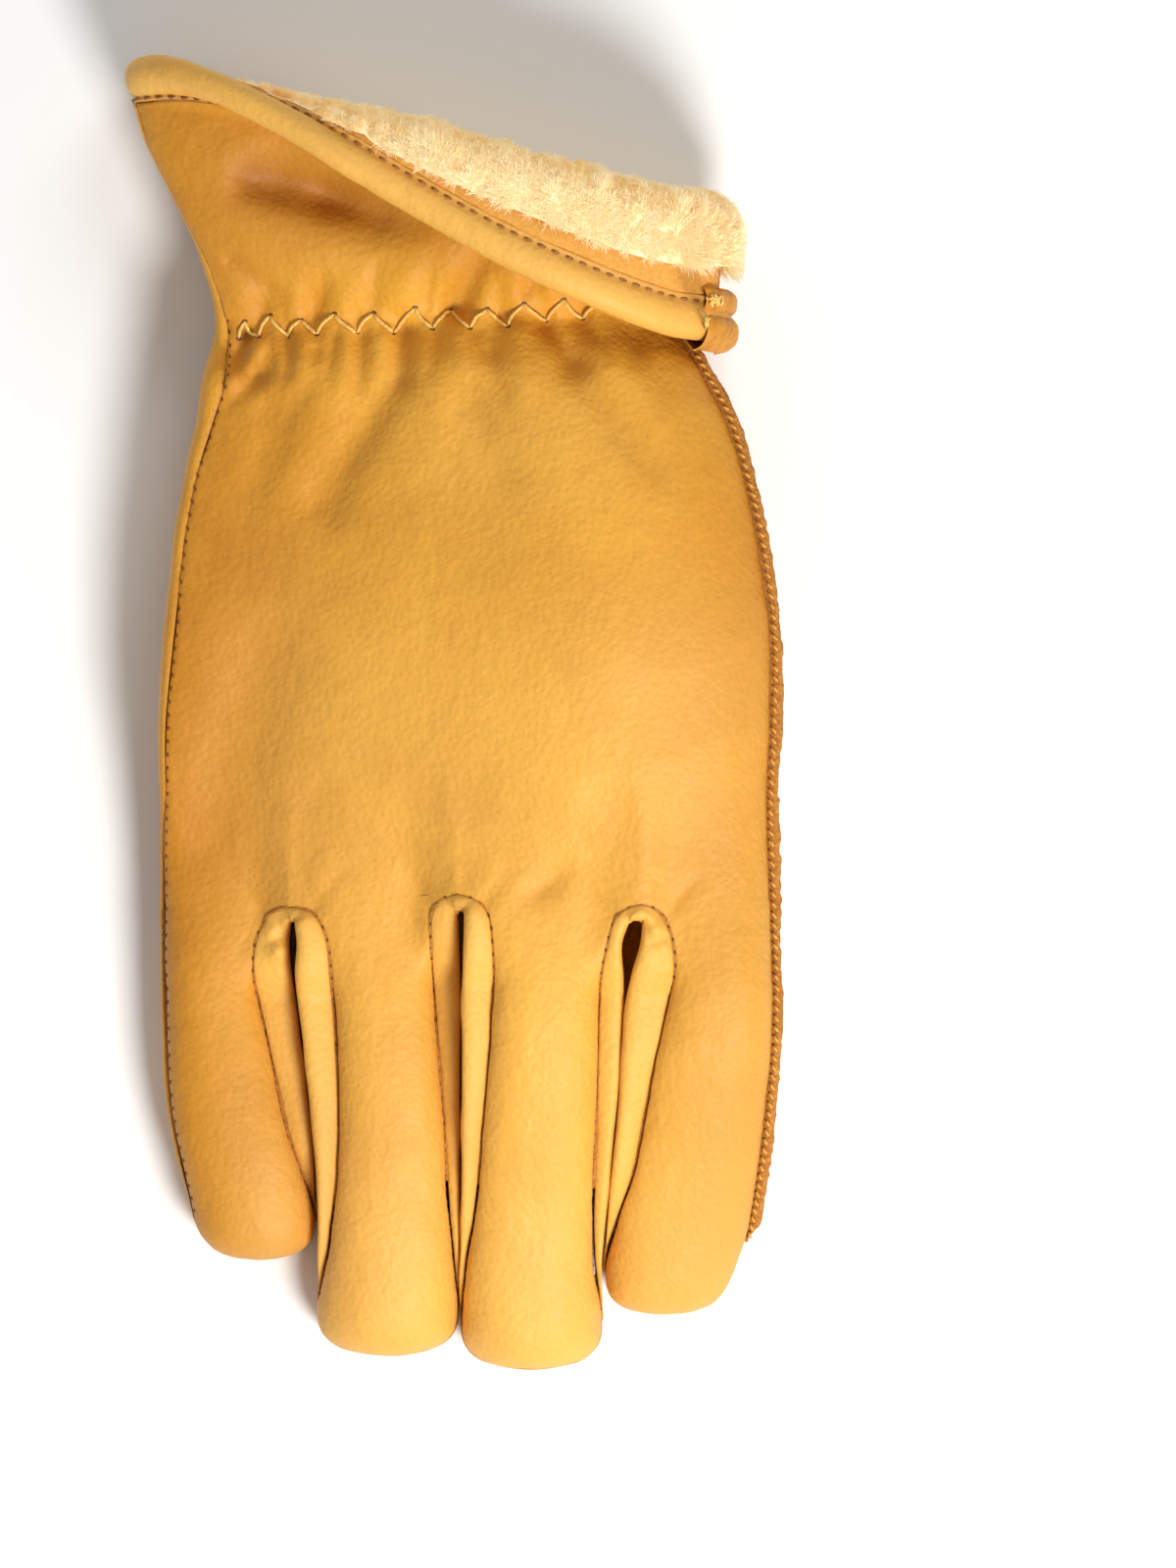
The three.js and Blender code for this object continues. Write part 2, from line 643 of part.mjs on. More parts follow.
// Edges that only one triangle of the piece uses, from point to next point.
function openEdges(faces) {
  const used = new Set(faces.flatMap(([a, b, c]) => [`${a},${b}`, `${b},${c}`, `${c},${a}`]));
  return faces.flatMap((face) => [[0, 1], [1, 2], [2, 0]]
    .map(([from, to]) => ({ face, from: face[from], to: face[to] }))
    .filter((edge) => !used.has(`${edge.to},${edge.from}`)));
}

// Solid sheet between two depths below the skin, drawn back a little from its open edges.
function sheetSolid(faces, normals, outerDepth, innerDepth, drawBack) {
  const numbers = [...new Set(faces.flat())];
  const order = new Map(numbers.map((number, place) => [number, place]));
  const edges = openEdges(faces);
  const pull = new Map();
  for (const edge of edges) {
    const along = skin.points[edge.to].clone().sub(skin.points[edge.from]).normalize();
    const into = faceNormal(edge.face).normalize().cross(along);
    for (const number of [edge.from, edge.to]) {
      const list = pull.get(number) ?? [];
      list.push(into);
      pull.set(number, list);
    }
  }
  const local = pointNormals(faces);
  const outer = [];
  const inner = [];
  for (const number of numbers) {
    const point = skin.points[number].clone();
    const normal = normals.get(number);
    const lean = Math.min(1 / Math.max(normal.dot(local.get(number)), 0.5), 1.15);
    if (pull.has(number)) {
      const list = pull.get(number);
      const sum = list.reduce((total, into) => total.add(into), new THREE.Vector3());
      const size = Math.max(sum.lengthSq() / list.length, 0.3);
      point.addScaledVector(sum, drawBack / size);
    }
    outer.push(point.clone().addScaledVector(normal, -outerDepth * lean));
    inner.push(point.addScaledVector(normal, -innerDepth * lean));
  }
  const count = numbers.length;
  const triangles = [];
  for (const face of faces) {
    const [a, b, c] = face.map((number) => order.get(number));
    triangles.push([a, b, c], [count + a, count + c, count + b]);
  }
  for (const edge of edges) {
    const a = order.get(edge.from);
    const b = order.get(edge.to);
    triangles.push([a, count + b, b], [a, count + a, count + b]);
  }
  return { points: [...outer, ...inner], triangles };
}

// Tube or bar through rings of points, closed at the ends that are asked for.
function loftSolid(rings, closedLoop, capStart, capEnd) {
  const around = rings[0].length;
  const points = rings.flat().map((point) => point.clone());
  const triangles = [];
  const last = closedLoop ? rings.length : rings.length - 1;
  for (let ring = 0; ring < last; ring += 1) {
    const next = (ring + 1) % rings.length;
    for (let k = 0; k < around; k += 1) {
      const a = ring * around + k;
      const b = ring * around + ((k + 1) % around);
      const c = next * around + ((k + 1) % around);
      const d = next * around + k;
      triangles.push([a, b, c], [a, c, d]);
    }
  }
  const cap = (ring, flip) => {
    const centre = new THREE.Vector3();
    rings[ring].forEach((point) => centre.addScaledVector(point, 1 / around));
    points.push(centre);
    for (let k = 0; k < around; k += 1) {
      const a = ring * around + k;
      const b = ring * around + ((k + 1) % around);
      triangles.push(flip ? [points.length - 1, b, a] : [points.length - 1, a, b]);
    }
  };
  if (capStart) {
    cap(0, true);
  }
  if (capEnd) {
    cap(rings.length - 1, false);
  }
  return { points, triangles };
}

const wasm = await Module();
wasm.setup();

function solidOf({ points, triangles }) {
  const mesh = new wasm.Mesh({
    numProp: 3,
    vertProperties: new Float32Array(points.flatMap((point) => point.toArray())),
    triVerts: new Uint32Array(triangles.flat()),
  });
  return new wasm.Manifold(mesh);
}

function geometryOf(solid) {
  const { vertProperties, triVerts } = solid.getMesh();
  const geometry = new THREE.BufferGeometry();
  geometry.setAttribute('position', new THREE.BufferAttribute(new Float32Array(vertProperties), 3));
  geometry.setIndex(new THREE.BufferAttribute(new Uint32Array(triVerts), 1));
  return geometry;
}

// The solid with points that all but touch made one, so that no thin crumb hangs on.
function welded(solid) {
  const geometry = mergeVertices(geometryOf(solid), 2e-3);
  const position = geometry.attributes.position;
  const points = [];
  for (let number = 0; number < position.count; number += 1) {
    points.push(new THREE.Vector3().fromBufferAttribute(position, number));
  }
  const triangles = [];
  for (let place = 0; place < geometry.index.count; place += 3) {
    const face = [0, 1, 2].map((corner) => geometry.index.getX(place + corner));
    if (new Set(face).size === 3) {
      triangles.push(face);
    }
  }
  return solidOf({ points, triangles });
}

function meshOf(name, solid, look) {
  const geometry = geometryOf(solid);
  geometry.computeVertexNormals();
  const material = new THREE.MeshStandardMaterial({ ...look, metalness: 0 });
  material.name = look.name;
  const mesh = new THREE.Mesh(geometry, material);
  mesh.name = name;
  return mesh;
}

const looks = {
  leather: { name: 'leather', color: 0xd8952e, roughness: 0.5 },
  pile: { name: 'pile', color: 0xf1dcae, roughness: 0.95 },
  raw: { name: 'raw_edge', color: 0xe9c27c, roughness: 0.8 },
};

// One thumb section, flattened where it rests on the floor.
function thumbRing(section, grow) {
  const ring = [];
  for (let k = 0; k < thumbAround; k += 1) {
    const angle = (k / thumbAround) * 2 * Math.PI;
    const x = Math.sign(Math.cos(angle)) * Math.abs(Math.cos(angle)) ** 0.85;
    const z = Math.sign(Math.sin(angle)) * Math.abs(Math.sin(angle)) ** 0.85;
    ring.push(new THREE.Vector3(
      section.x + (section.wide / 2 + grow) * x,
      section.y + (section === thumb.at(-1) ? -grow : 0),
      Math.max(section.z + (section.high / 2 + grow) * z, -grow),
    ));
  }
  return ring;
}

function thumbBody(sections, grow) {
  const rings = sections.map((section) => thumbRing(section, grow));
  return solidOf(loftSolid(rings, false, true, true));
}

// The thumb's wall, open at its root, and the whole thumb a seam gap larger.
function thumbSolids() {
  const hollowRows = thumb.slice(0, -1).map((section) => ({ ...section }));
  hollowRows[0].y += 3;
  hollowRows.at(-1).y += 0.4;
  const wall = thumbBody(thumb, 0).subtract(thumbBody(hollowRows, -leatherThick));
  return { wall, clear: thumbBody(thumb, seamGap) };
}

// Raw edges of the index-side seam, a narrow double flange outside the seam.
function seamFlangeSolid(columns, rings) {
  const line = rings.map((ring) => skin.points[ring.right[0]]);
  for (let row = 1; row <= stripEndRow; row += 1) {
    line.push(skin.points[columns[3].backRows[row].at(-1)]);
  }
  const sections = line.map((point, place) => {
    const before = line[Math.max(place - 1, 0)];
    const after = line[Math.min(place + 1, line.length - 1)];
    const along = after.clone().sub(before).normalize();
    const out = along.clone().cross(new THREE.Vector3(0, 0, 1)).normalize().negate();
    const up = out.clone().cross(along).normalize();
    const corner = (far, high) => point.clone().addScaledVector(out, far)
      .addScaledVector(up, high);
    const half = leatherThick / 2;
    return [
      corner(half, half),
      corner(half + seamFlange, half),
      corner(half + seamFlange, -half),
      corner(half, -half),
    ];
  });
  return loftSolid(sections, false, true, true);
}

// Places round the rim of the cuff: back, index side, palm and little-finger side.
function rimStations() {
  const stations = [];
  for (let index = 0; index < 4; index += 1) {
    for (let k = 0; k < backAcross; k += 1) {
      stations.push(['back', index, shares.back[k]]);
    }
  }
  stations.push(['back', 3, 1], ['right', 3, 1 / 3], ['right', 3, 2 / 3], ['palm', 3, 1]);
  for (let index = 3; index >= 0; index -= 1) {
    for (let k = palmAcross - 1; k >= 0; k -= 1) {
      stations.push(['palm', index, shares.palm[k]]);
    }
  }
  stations.push(['left', 0, 2 / 3], ['left', 0, 1 / 3]);
  return stations;
}

// Padded hem roll all round the rim of the cuff.
function hemSolid(grow) {
  const profile = [
    { run: 0.5 - grow, deep: 0.4 - grow },
    { run: 0.5 - grow, deep: hemThick - 0.8 + grow },
    { run: 2.2, deep: hemThick + grow },
    { run: 6.4, deep: hemThick + grow },
    { run: hemWide + grow, deep: hemThick - 1.8 },
    { run: hemWide + grow, deep: 1.6 },
    { run: 6.6, deep: -grow },
    { run: 2.0, deep: -grow },
  ];
  const rings = rimStations().map(([face, index, u]) => {
    const end = cuffPoint(face, index, u, 1);
    return profile.map(({ run, deep }) => {
      const point = end.point.clone();
      point.addScaledVector(end.runs, run).addScaledVector(end.inward, deep);
      point.z = Math.max(point.z, -grow);
      return point;
    });
  });
  return loftSolid(rings, true, false, false);
}

const group = new THREE.Group();
group.name = 'glove';
const handRings = buildHand();
const cuffRings = buildCuff(handRings[0]);
joinRings(handRings.slice().reverse(), { back: 'back_panel', palm: 'palm_panel' });
joinRings(cuffRings, { back: 'back_panel', palm: 'palm_panel' });
const columns = buildFingers(handRings.at(-1));
buildStrips(columns, handRings.at(-1));
joinRings(cuffRings.slice(liningFromRow), { back: 'cuff_lining', palm: 'cuff_lining' });

const liningFaces = skin.pieces.cuff_lining;
delete skin.pieces.cuff_lining;
const normals = pointNormals(Object.values(skin.pieces).flat());
const { wall: thumbWall, clear: thumbClear } = thumbSolids();

// A piece less its cutters, as one body without loose crumbs.
const largest = (solid) => solid.decompose().sort((a, b) => b.volume() - a.volume())[0];
function clearOf(solid, cutters) {
  const left = cutters.reduce((rest, cutter) => rest.subtract(cutter), solid);
  return largest(welded(largest(left)));
}

// Each piece is cut clear of those before it.
const hemClear = solidOf(hemSolid(seamGap));
const cutters = [thumbClear, hemClear];
const liningCutters = [hemClear];
for (const [name, faces] of Object.entries(skin.pieces)) {
  const whole = solidOf(sheetSolid(faces, normals, 0, leatherThick, seamGap * 0.7));
  group.add(meshOf(name, clearOf(whole, cutters), looks.leather));
  if (name.startsWith('finger_front')) {
    cutters.push(whole);
  }
  const clear = solidOf(sheetSolid(faces, normals, -0.2, leatherThick + 0.2, -0.1));
  cutters.push(clear);
  if (name === 'palm_panel') {
    liningCutters.push(clear, whole);
  }
}
const liningTop = leatherThick + 3 * seamGap;
const lining = solidOf(sheetSolid(liningFaces, normals, liningTop, liningTop + pileThick, 0));
group.add(meshOf('cuff_lining', clearOf(lining, liningCutters), looks.pile));
group.add(meshOf('thumb', thumbWall, looks.leather));
group.add(meshOf('cuff_hem', solidOf(hemSolid(0)), looks.leather));
const flange = solidOf(seamFlangeSolid(columns, handRings));
group.add(meshOf('outseam_edge', clearOf(flange, cutters), looks.raw));

export default group;
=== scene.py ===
import bpy
import numpy as np
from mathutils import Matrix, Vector
from mathutils.bvhtree import BVHTree
from mathutils.kdtree import KDTree


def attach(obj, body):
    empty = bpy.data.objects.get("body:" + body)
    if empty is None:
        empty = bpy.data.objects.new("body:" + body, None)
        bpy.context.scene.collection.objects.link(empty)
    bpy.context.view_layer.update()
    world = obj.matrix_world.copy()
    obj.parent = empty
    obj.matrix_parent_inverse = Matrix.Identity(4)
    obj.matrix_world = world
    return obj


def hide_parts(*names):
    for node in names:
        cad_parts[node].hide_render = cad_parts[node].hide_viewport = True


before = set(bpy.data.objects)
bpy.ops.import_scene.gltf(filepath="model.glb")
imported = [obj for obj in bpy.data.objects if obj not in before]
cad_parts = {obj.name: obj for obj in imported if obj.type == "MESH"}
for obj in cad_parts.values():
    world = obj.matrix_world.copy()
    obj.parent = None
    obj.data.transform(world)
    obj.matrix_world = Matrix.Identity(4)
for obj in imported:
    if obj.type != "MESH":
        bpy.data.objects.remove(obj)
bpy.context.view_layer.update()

# Tables and lengths are in millimetres, as in the part's source. Meshes are made in metres.
MM = 0.001
UP = np.array([0, 0, 1.0])
# Height of the picture on the floor, in metres.
FRAME_HIGH = 0.304

# Leather, lining, cuff, slits and fingertips.
LEATHER_THICK = 2.2
PILE_THICK = 4.3
LINING_TOP = LEATHER_THICK + 0.9
HEM_WIDE = 8.5
THUMB_LIFT = 22.5
LIFT_FROM_X = -50
LIFT_TO_X = 38
WRIST_Y = 77
ROLL_RADIUS = 2.6
WALL_KNOT = 0.48
ROLL_KNOT = 0.84
STRIP_TAPER_FROM = 0.6
STRIP_END = 0.89
STRIP_HALF_HEIGHT = 6.5
TIP_BOW = 1.5
TIP_POWER = 3.2
TIP_THIN_POWER = 3
TIP_NARROWS = 10
TIP_THINS = 12.8
TIP_START = 0.092

# Welt at the top of a slit's wall: its size, and the shares of the wall that it comes down.
WELT_WIDE = 3.0
WELT_HIGH = 1.6
WELT_FADE = 3.5
WELT_DOWN = 0.3
PUFF_DOWN = 0.32
FULL_DOWN = 0.27

# How far along the hand turns into fingers, and how far down the slits part it.
KNUCKLE_FROM = -8
KNUCKLE_LONG = 38
SLIT_FADE = 18

# How the palm is held up towards the cuff, and over what length the finger lines spread evenly.
HELD_FROM = 42
HELD_OVER = 24
HELD_SOFT = 5
LINES_EVEN_OVER = 30

# Seams in from the outline, and half heights of the leather's edges there.
SIDE_SEAM_IN = 0.4
PALM_SEAM_IN = 4
LEFT_SEAM_HIGH = 9
EDGE_HALF_HIGH = 1.5

# How squarely the hand, the fingers and the cuff are rounded across.
HAND_BACK_POWER = 2.8
HAND_PALM_POWER = 4.5
FINGER_BACK_POWER = 2.4
FINGER_PALM_POWER = 3.6
CUFF_TURNED = 1.1

# Thickness of the leather sheets that show, and how far in from their edges it is full.
SHEET_THICK = 1.3
SHEET_FULL_IN = 2.5

# Elastic across the back of the wrist.
ELASTIC_Y = 76.2
ELASTIC_SLOPE = 0.04
ELASTIC_DEEP = 0.9
RIPPLE_DEEP = 0.35
RIPPLE_LONG = 7.2

# Fibres of the pile: how far they stand over the lining, and their lengths and widths.
PILE_STANDS = 2.3
FIBRE_LONG = (1.4, 2.6)
FIBRE_WIDE = (0.11, 0.21)

# How much shallower the fine folds are at their second end.
FOLD_NARROWS = 0.5

# Outline of the hand and of the cuff tube, a row per section.
HAND_OUTLINE = {
    "y":     [128, 112, 100, 90, 77, 66, 58, 47, 34, 16, 0, -18, -36, -60, -80, -100, -112, -130],
    "left":  [-64.4, -60.2, -54.5, -49.6, -46.8, -49.0, -50.0, -52.6, -54.8, -56.5, -57.3,
              -57.3, -57.6, -57.1, -55.6, -50.6, -48.0, -48.0],
    "seam":  [-64.0, -59.8, -54.0, -48.8, -44.4, -44.2, -46.4, -49.9, -52.4, -54.3, -55.9,
              -56.2, -56.6, -56.2, -54.6, -50.2, -47.6, -47.6],
    "right": [48.0, 47.0, 45.2, 43.6, 43.4, 48.6, 52.8, 56.2, 59.2, 61.6, 61.6,
              60.9, 61.5, 62.0, 60.4, 57.2, 53.4, 52.4],
    "thick": [40, 41, 40, 38, 31.5, 35, 35, 35, 35, 35, 33, 30, 27, 26, 25, 24, 24, 24],
    "rise":  [0.30, 0.30, 0.32, 0.38, 0.50, 0.64, 0.76, 0.88, 0.97, 1.00, 1.00,
              1.00, 1.00, 0.96, 0.60, 0.14, 0.00, 0.00],
}

# Slits between the fingers: edges of the back leather, and the line where the fingers touch.
SLITS = [
    {
        "y":     [-36.8, -37.1, -38, -40, -44, -50, -60, -72, -86, -100],
        "left":  [-31.4, -33.3, -35.4, -37.1, -38.7, -39.0, -37.0, -34.4, -31.5, -28.9],
        "gap":   [-31.4, -31.3, -31.3, -31.3, -31.3, -31.2, -30.0, -28.6, -27.3, -26.9],
        "right": [-31.4, -29.5, -27.4, -25.8, -24.5, -23.9, -23.0, -22.5, -22.5, -23.4],
        "open":  [0.1, 0.2, 0.2, 0.4, 0.8, 0.4, 0.12, 0.1, 0.1, 0.1],
    },
    {
        "y":     [-34.3, -34.7, -36, -38.5, -43, -52, -67, -81, -95, -108],
        "left":  [0.8, -1.1, -3.0, -4.3, -4.4, -3.9, -3.0, -1.9, -1.2, -0.7],
        "gap":   [0.8, 0.9, 1.2, 1.5, 1.5, 1.5, 1.4, 1.3, 1.2, 1.0],
        "right": [0.8, 2.8, 5.2, 6.9, 7.5, 7.8, 6.9, 5.6, 4.2, 2.6],
        "open":  [0.1, 0.5, 0.9, 0.8, 0.5, 0.12, 0.1, 0.1, 0.1, 0.1],
    },
    {
        "y":     [-36.2, -36.6, -38, -40, -44, -50, -58, -70, -85, -98, -106],
        "left":  [36.5, 34.4, 32.2, 30.8, 29.7, 28.6, 28.1, 27.8, 27.3, 26.8, 26.4],
        "gap":   [36.5, 36.2, 35.6, 35.1, 34.3, 33.6, 32.9, 32.3, 30.8, 29.6, 29.0],
        "right": [36.5, 38.2, 39.9, 41.3, 42.5, 42.7, 41.0, 38.2, 35.5, 32.6, 30.9],
        "open":  [0.1, 0.4, 1.0, 1.5, 1.8, 0.8, 0.2, 0.1, 0.1, 0.1, 0.1],
    },
]

# Fingers from the little finger to the index finger.
FINGERS = [
    {"tip_x": -38.6, "tip_y": -105.9, "high": 23, "centre": -44},
    {"tip_x": -12.8, "tip_y": -124.5, "high": 25, "centre": -15},
    {"tip_x": 14.4, "tip_y": -127.4, "high": 26, "centre": 15},
    {"tip_x": 41.6, "tip_y": -116.8, "high": 24, "centre": 47},
]

# Turned cuff, a column per place across the hand.
CUFF_TURN = {
    "across": [0, 0.1, 0.2, 0.3, 0.38, 0.45, 0.62, 0.78, 0.92, 1],
    "fold":   [126.6, 125.4, 123.3, 120.4, 118.6, 116.9, 111.5, 106.8, 103.6, 101.4],
    "turn":   [0.08, 0.30, 0.52, 0.71, 0.89, 0.98, 1, 1, 1, 1],
    "back":   [0, 2, 7, 12, 17.5, 19.6, 24.4, 27.5, 30.2, 29.3],
    "drop":   [1, 10, 14.5, 13.8, 13.2, 12.9, 12.7, 12.7, 12.7, 12.7],
}

# Bare leather between the hem's stitches and the pile, a column per place across the hand.
BARE_STRIP = {
    "across": [0, 0.33, 0.5, 0.67, 0.81, 0.88, 1],
    "wide":   [0, 0.1, 1.8, 3.6, 3.9, 4.4, 6.0],
}

# Dents and folds in the back leather: a valley from one point to another.
FOLDS = [
    # x1, y1, x2, y2, wide, deep
    (-46, 74, -38, 66, 2.6, 2.6),
    (-38, 80, -36, 70, 1.9, 1.3),
    (-28, 82, -27, 71, 1.9, 1.2),
    (-9, 75, -25, 42, 4.6, 2.0),
    (-32, 105, -16, 97, 6.5, 3.2),
    (-1, 82, -2, 72, 2.0, 1.2),
    (9, 82, 8, 70, 2.0, 1.3),
    (22, 76, 24, 68, 3.0, 2.2),
    (36, 80, 35, 70, 2.4, 1.4),
    (-31, -34, -27, -14, 4.0, 0.6),
    (1, -32, 4, -12, 4.0, 0.5),
    (36, -34, 31, -16, 4.0, 0.6),
    (-36, 10, -48, -24, 9.0, 2.4),
    (16, -34, 20, -31, 3.0, 1.2),
]

# Painted shade for the hollow of the back leather under the turned cuff.
PAINTED_HOLLOW_SHADE = [
    # x1, y1, x2, y2, wide, deep
    (-38, 104, -14, 99, 4.5, 0.55),
    (-40, 101, -20, 95, 7.0, 0.20),
]

# Finer folds that only the visual model has: gathers at the elastic and puckers at the slits.
FINE_FOLDS = [
    # x1, y1, x2, y2, wide, deep
    (-39, 103.5, -22, 100.5, 4.0, 3.2),
    (-24, 101, -8, 95.5, 3.6, 2.6),
    (-43, 88.3, -32, 79.5, 1.6, 1.5),
    (-40.0, 73.6, -42.2, 68.6, 1.6, 3.0),
    (-43.6, 75.5, -40.5, 72.6, 1.3, 1.8),
    (-37.6, 72.5, -43.0, 65.0, 1.6, -1.5),
    (-35.5, 67.5, -43.5, 61.0, 1.6, 1.3),
    (-32.0, 74.0, -32.2, 66.5, 1.4, 2.0),
    (-32.2, 66.5, -37, 58, 2.2, 1.0),
    (-27.5, 73.0, -33, 62, 2.4, -1.4),
    (-23.0, 74.0, -24, 66, 1.2, 0.9),
    (-17.8, 73.5, -18.4, 64, 1.6, 2.0),
    (-13.5, 73, -15, 65, 1.7, -0.9),
    (-9.2, 74, -10, 65, 1.9, 2.6),
    (-10, 65, -19, 50, 2.8, 1.6),
    (-3, 74.5, -4.5, 66, 1.3, 1.0),
    (1, 73, 3, 63, 2.2, -0.9),
    (5.1, 74, 9.6, 61.8, 2.0, 1.8),
    (12.5, 74, 14, 63, 2.2, -1.0),
    (18.0, 76, 22.8, 67.4, 1.9, 3.2),
    (22.8, 67.4, 38, 48.0, 3.4, 1.8),
    (31, 70, 40, 58, 3.0, -0.9),
    (-31, 62, -39, 44, 3.4, 1.3),
    (3, 63, 10, 47, 3.8, 1.3),
    (-2, 62, -6, 48, 3.6, -0.8),
    (24.5, 77, 30, 70, 1.8, 1.6),
    (34, 75, 41, 63, 2.6, 1.2),
    (-40.5, 80, -42, 86, 2.4, -0.9),
    (-36.5, 79.5, -36, 84, 1.3, 1.6),
    (-32, 79, -29, 83, 1.9, -1.1),
    (-26.5, 79.5, -25, 84, 1.3, 1.6),
    (-21, 80, -19, 84, 2.0, -1.1),
    (-15.6, 80, -14.5, 87, 1.5, 2.0),
    (-10.5, 80.5, -9, 85, 2.0, -1.2),
    (-5.2, 80.5, -4.5, 84, 1.2, 1.4),
    (0.6, 79.5, 5.0, 87.5, 2.5, 4.6),
    (10.2, 81.5, 12.0, 87, 2.4, -1.8),
    (14.2, 82, 15.5, 84.5, 1.1, 1.6),
    (18.5, 82, 21, 88, 1.9, -1.2),
    (-37, -38, -43, -30, 1.4, 0.6),
    (-27, -37, -22, -30, 1.4, 0.6),
    (-4, -37, -9, -29, 1.3, 0.6),
    (6, -36, 11, -29, 1.3, 0.7),
    (31, -38, 25, -33, 1.2, 0.8),
    (41, -38, 47, -31, 1.4, 0.7),
    (17, -33, 22, -28, 1.2, 0.7),
]

# Lumps of the folded ends of the strips in the little-finger and index-finger slits.
STRIP_LUMPS = [
    # x, y, wide, tall
    (-34.0, -45.5, 1.7, 2.2),
    (-35.6, -41.5, 1.3, 1.2),
    (-32.6, -40.0, 1.2, 1.3),
    (39.3, -41.0, 1.5, 1.6),
    (37.6, -38.6, 1.1, 1.1),
    (40.8, -44.5, 1.4, 1.0),
    (40.3, -42.6, 0.7, -0.9),
    (38.4, -43.6, 0.8, -0.8),
]

# Corners of the elastic's zigzag seam on the back of the wrist, from the little-finger side.
ZIGZAG = [
    (-41.8, 73.4), (-40.5, 76.7), (-37.8, 73.6), (-35.5, 77.8), (-32.1, 73.6), (-29.6, 76.9),
    (-26.4, 74.0), (-23.0, 78.0), (-18.8, 74.2), (-15.4, 78.0), (-11.6, 74.2), (-7.4, 79.1),
    (-4.0, 75.0), (-0.6, 78.6), (3.2, 75.0), (6.6, 78.7), (10.6, 75.3), (13.7, 79.7),
    (17.9, 76.5), (21.3, 80.5), (25.1, 76.9), (28.9, 80.5), (32.6, 77.0), (36.2, 80.8),
    (39.6, 77.6),
]

# Thumb, sections from the open root inside the palm to the tip.
THUMB = {
    "y":    [47, 40, 31, 22, 10, -8, -26, -42, -54, -61, -65, -67],
    "x":    [34, 35, 37, 39, 40.5, 42, 43.5, 44.5, 45, 45.2, 45.3, 45.3],
    "z":    [36, 27.5, 18.5, 12.4, 9.4, 9.2, 9, 8.7, 8.2, 8.2, 8.3, 8.3],
    "wide": [24, 27, 31, 34, 35, 33, 31, 29, 27, 22, 15, 6],
    "high": [15, 21, 25, 23, 21.4, 21, 20.4, 19.8, 18.6, 15.6, 11, 4.5],
}

# Faces across one finger, down a side wall, and along the cuff, the hand and the fingers.
BACK_ACROSS = 36
PALM_ACROSS = 22
SIDE_DOWN = 14
SLIT_DOWN = 26
CUFF_ROWS = 56
HAND_ROWS = 130
FINGER_ROWS = 96


def mix(a, b, share):
    return a + (b - a) * share


def smooth(share):
    held = np.clip(share, 0, 1)
    return held * held * (3 - 2 * held)


def unit(vectors):
    return vectors / np.maximum(np.linalg.norm(vectors, axis=-1, keepdims=True), 1e-9)


def resampled(line, step):
    """Points at even steps along a line."""
    line = np.asarray(line, float)
    lengths = np.linalg.norm(np.diff(line, axis=0), axis=1)
    far = np.concatenate([[0], np.cumsum(lengths)])
    even = np.arange(0, far[-1], step)
    return np.stack([np.interp(even, far, line[:, axis]) for axis in range(line.shape[1])], -1)


def read(table, key, value, column):
    """Smooth reading of one column of a table whose key column rises or falls."""
    keys = np.array(table[key], float)
    values = np.array(table[column], float)
    if keys[0] > keys[-1]:
        keys = keys[::-1]
        values = values[::-1]
    value = np.asarray(value, float)
    row = np.clip(np.searchsorted(keys, value) - 1, 0, len(keys) - 2)
    before = np.maximum(row - 1, 0)
    after = np.minimum(row + 2, len(keys) - 1)
    span = keys[row + 1] - keys[row]
    share = np.clip((value - keys[row]) / span, 0, 1)
    slope_a = (values[row + 1] - values[before]) / (keys[row + 1] - keys[before]) * span
    slope_b = (values[after] - values[row]) / (keys[after] - keys[row]) * span
    s2 = share * share
    s3 = s2 * share
    return ((2 * s3 - 3 * s2 + 1) * values[row] + (s3 - 2 * s2 + share) * slope_a
            + (3 * s2 - 2 * s3) * values[row + 1] + (s3 - s2) * slope_b)


def outline_at(y, column):
    return read(HAND_OUTLINE, "y", y, column)


def noise(x, y, size, seed):
    """Smooth random heights between -1 and 1, with bumps about that size."""
    table = np.random.default_rng(seed).uniform(-1, 1, (97, 89))
    gx = np.asarray(x) / size + 31.7
    gy = np.asarray(y) / size + 47.3
    ix = np.floor(gx).astype(int)
    iy = np.floor(gy).astype(int)
    fx = smooth(gx - ix)
    fy = smooth(gy - iy)
    low = mix(table[ix % 97, iy % 89], table[(ix + 1) % 97, iy % 89], fx)
    high = mix(table[ix % 97, (iy + 1) % 89], table[(ix + 1) % 97, (iy + 1) % 89], fx)
    return mix(low, high, fy)


def lift_at(x, y):
    ramp = smooth((x - LIFT_FROM_X) / (LIFT_TO_X - LIFT_FROM_X))
    return THUMB_LIFT * ramp * outline_at(y, "rise")


def arch(across, power):
    """Rounded profile across a piece, from 0 at both edges to 1 in the middle."""
    return np.sqrt(np.maximum(1 - np.abs(across) ** power, 0))


def valleys(x, y, folds, narrows=0.0):
    """Drop of the leather at a table of folds, which may be shallower towards their ends."""
    depth = np.zeros(np.broadcast(x, y).shape)
    for x1, y1, x2, y2, wide, deep in folds:
        dx = x2 - x1
        dy = y2 - y1
        along = np.clip(((x - x1) * dx + (y - y1) * dy) / (dx * dx + dy * dy), 0, 1)
        far = np.hypot(x - x1 - dx * along, y - y1 - dy * along)
        depth = depth + deep * (1 - narrows * along) * np.exp(-((far / wide) ** 2))
    return depth


def slit_beside(index, side):
    """Slit on one side of a finger: side 0 is towards the little finger."""
    return SLITS[min(max(index - 1 + side, 0), 2)]


def slit_read(index, side, y, column):
    slit = slit_beside(index, side)
    return read(slit, "y", np.clip(y, slit["y"][-1], slit["y"][0]), column)


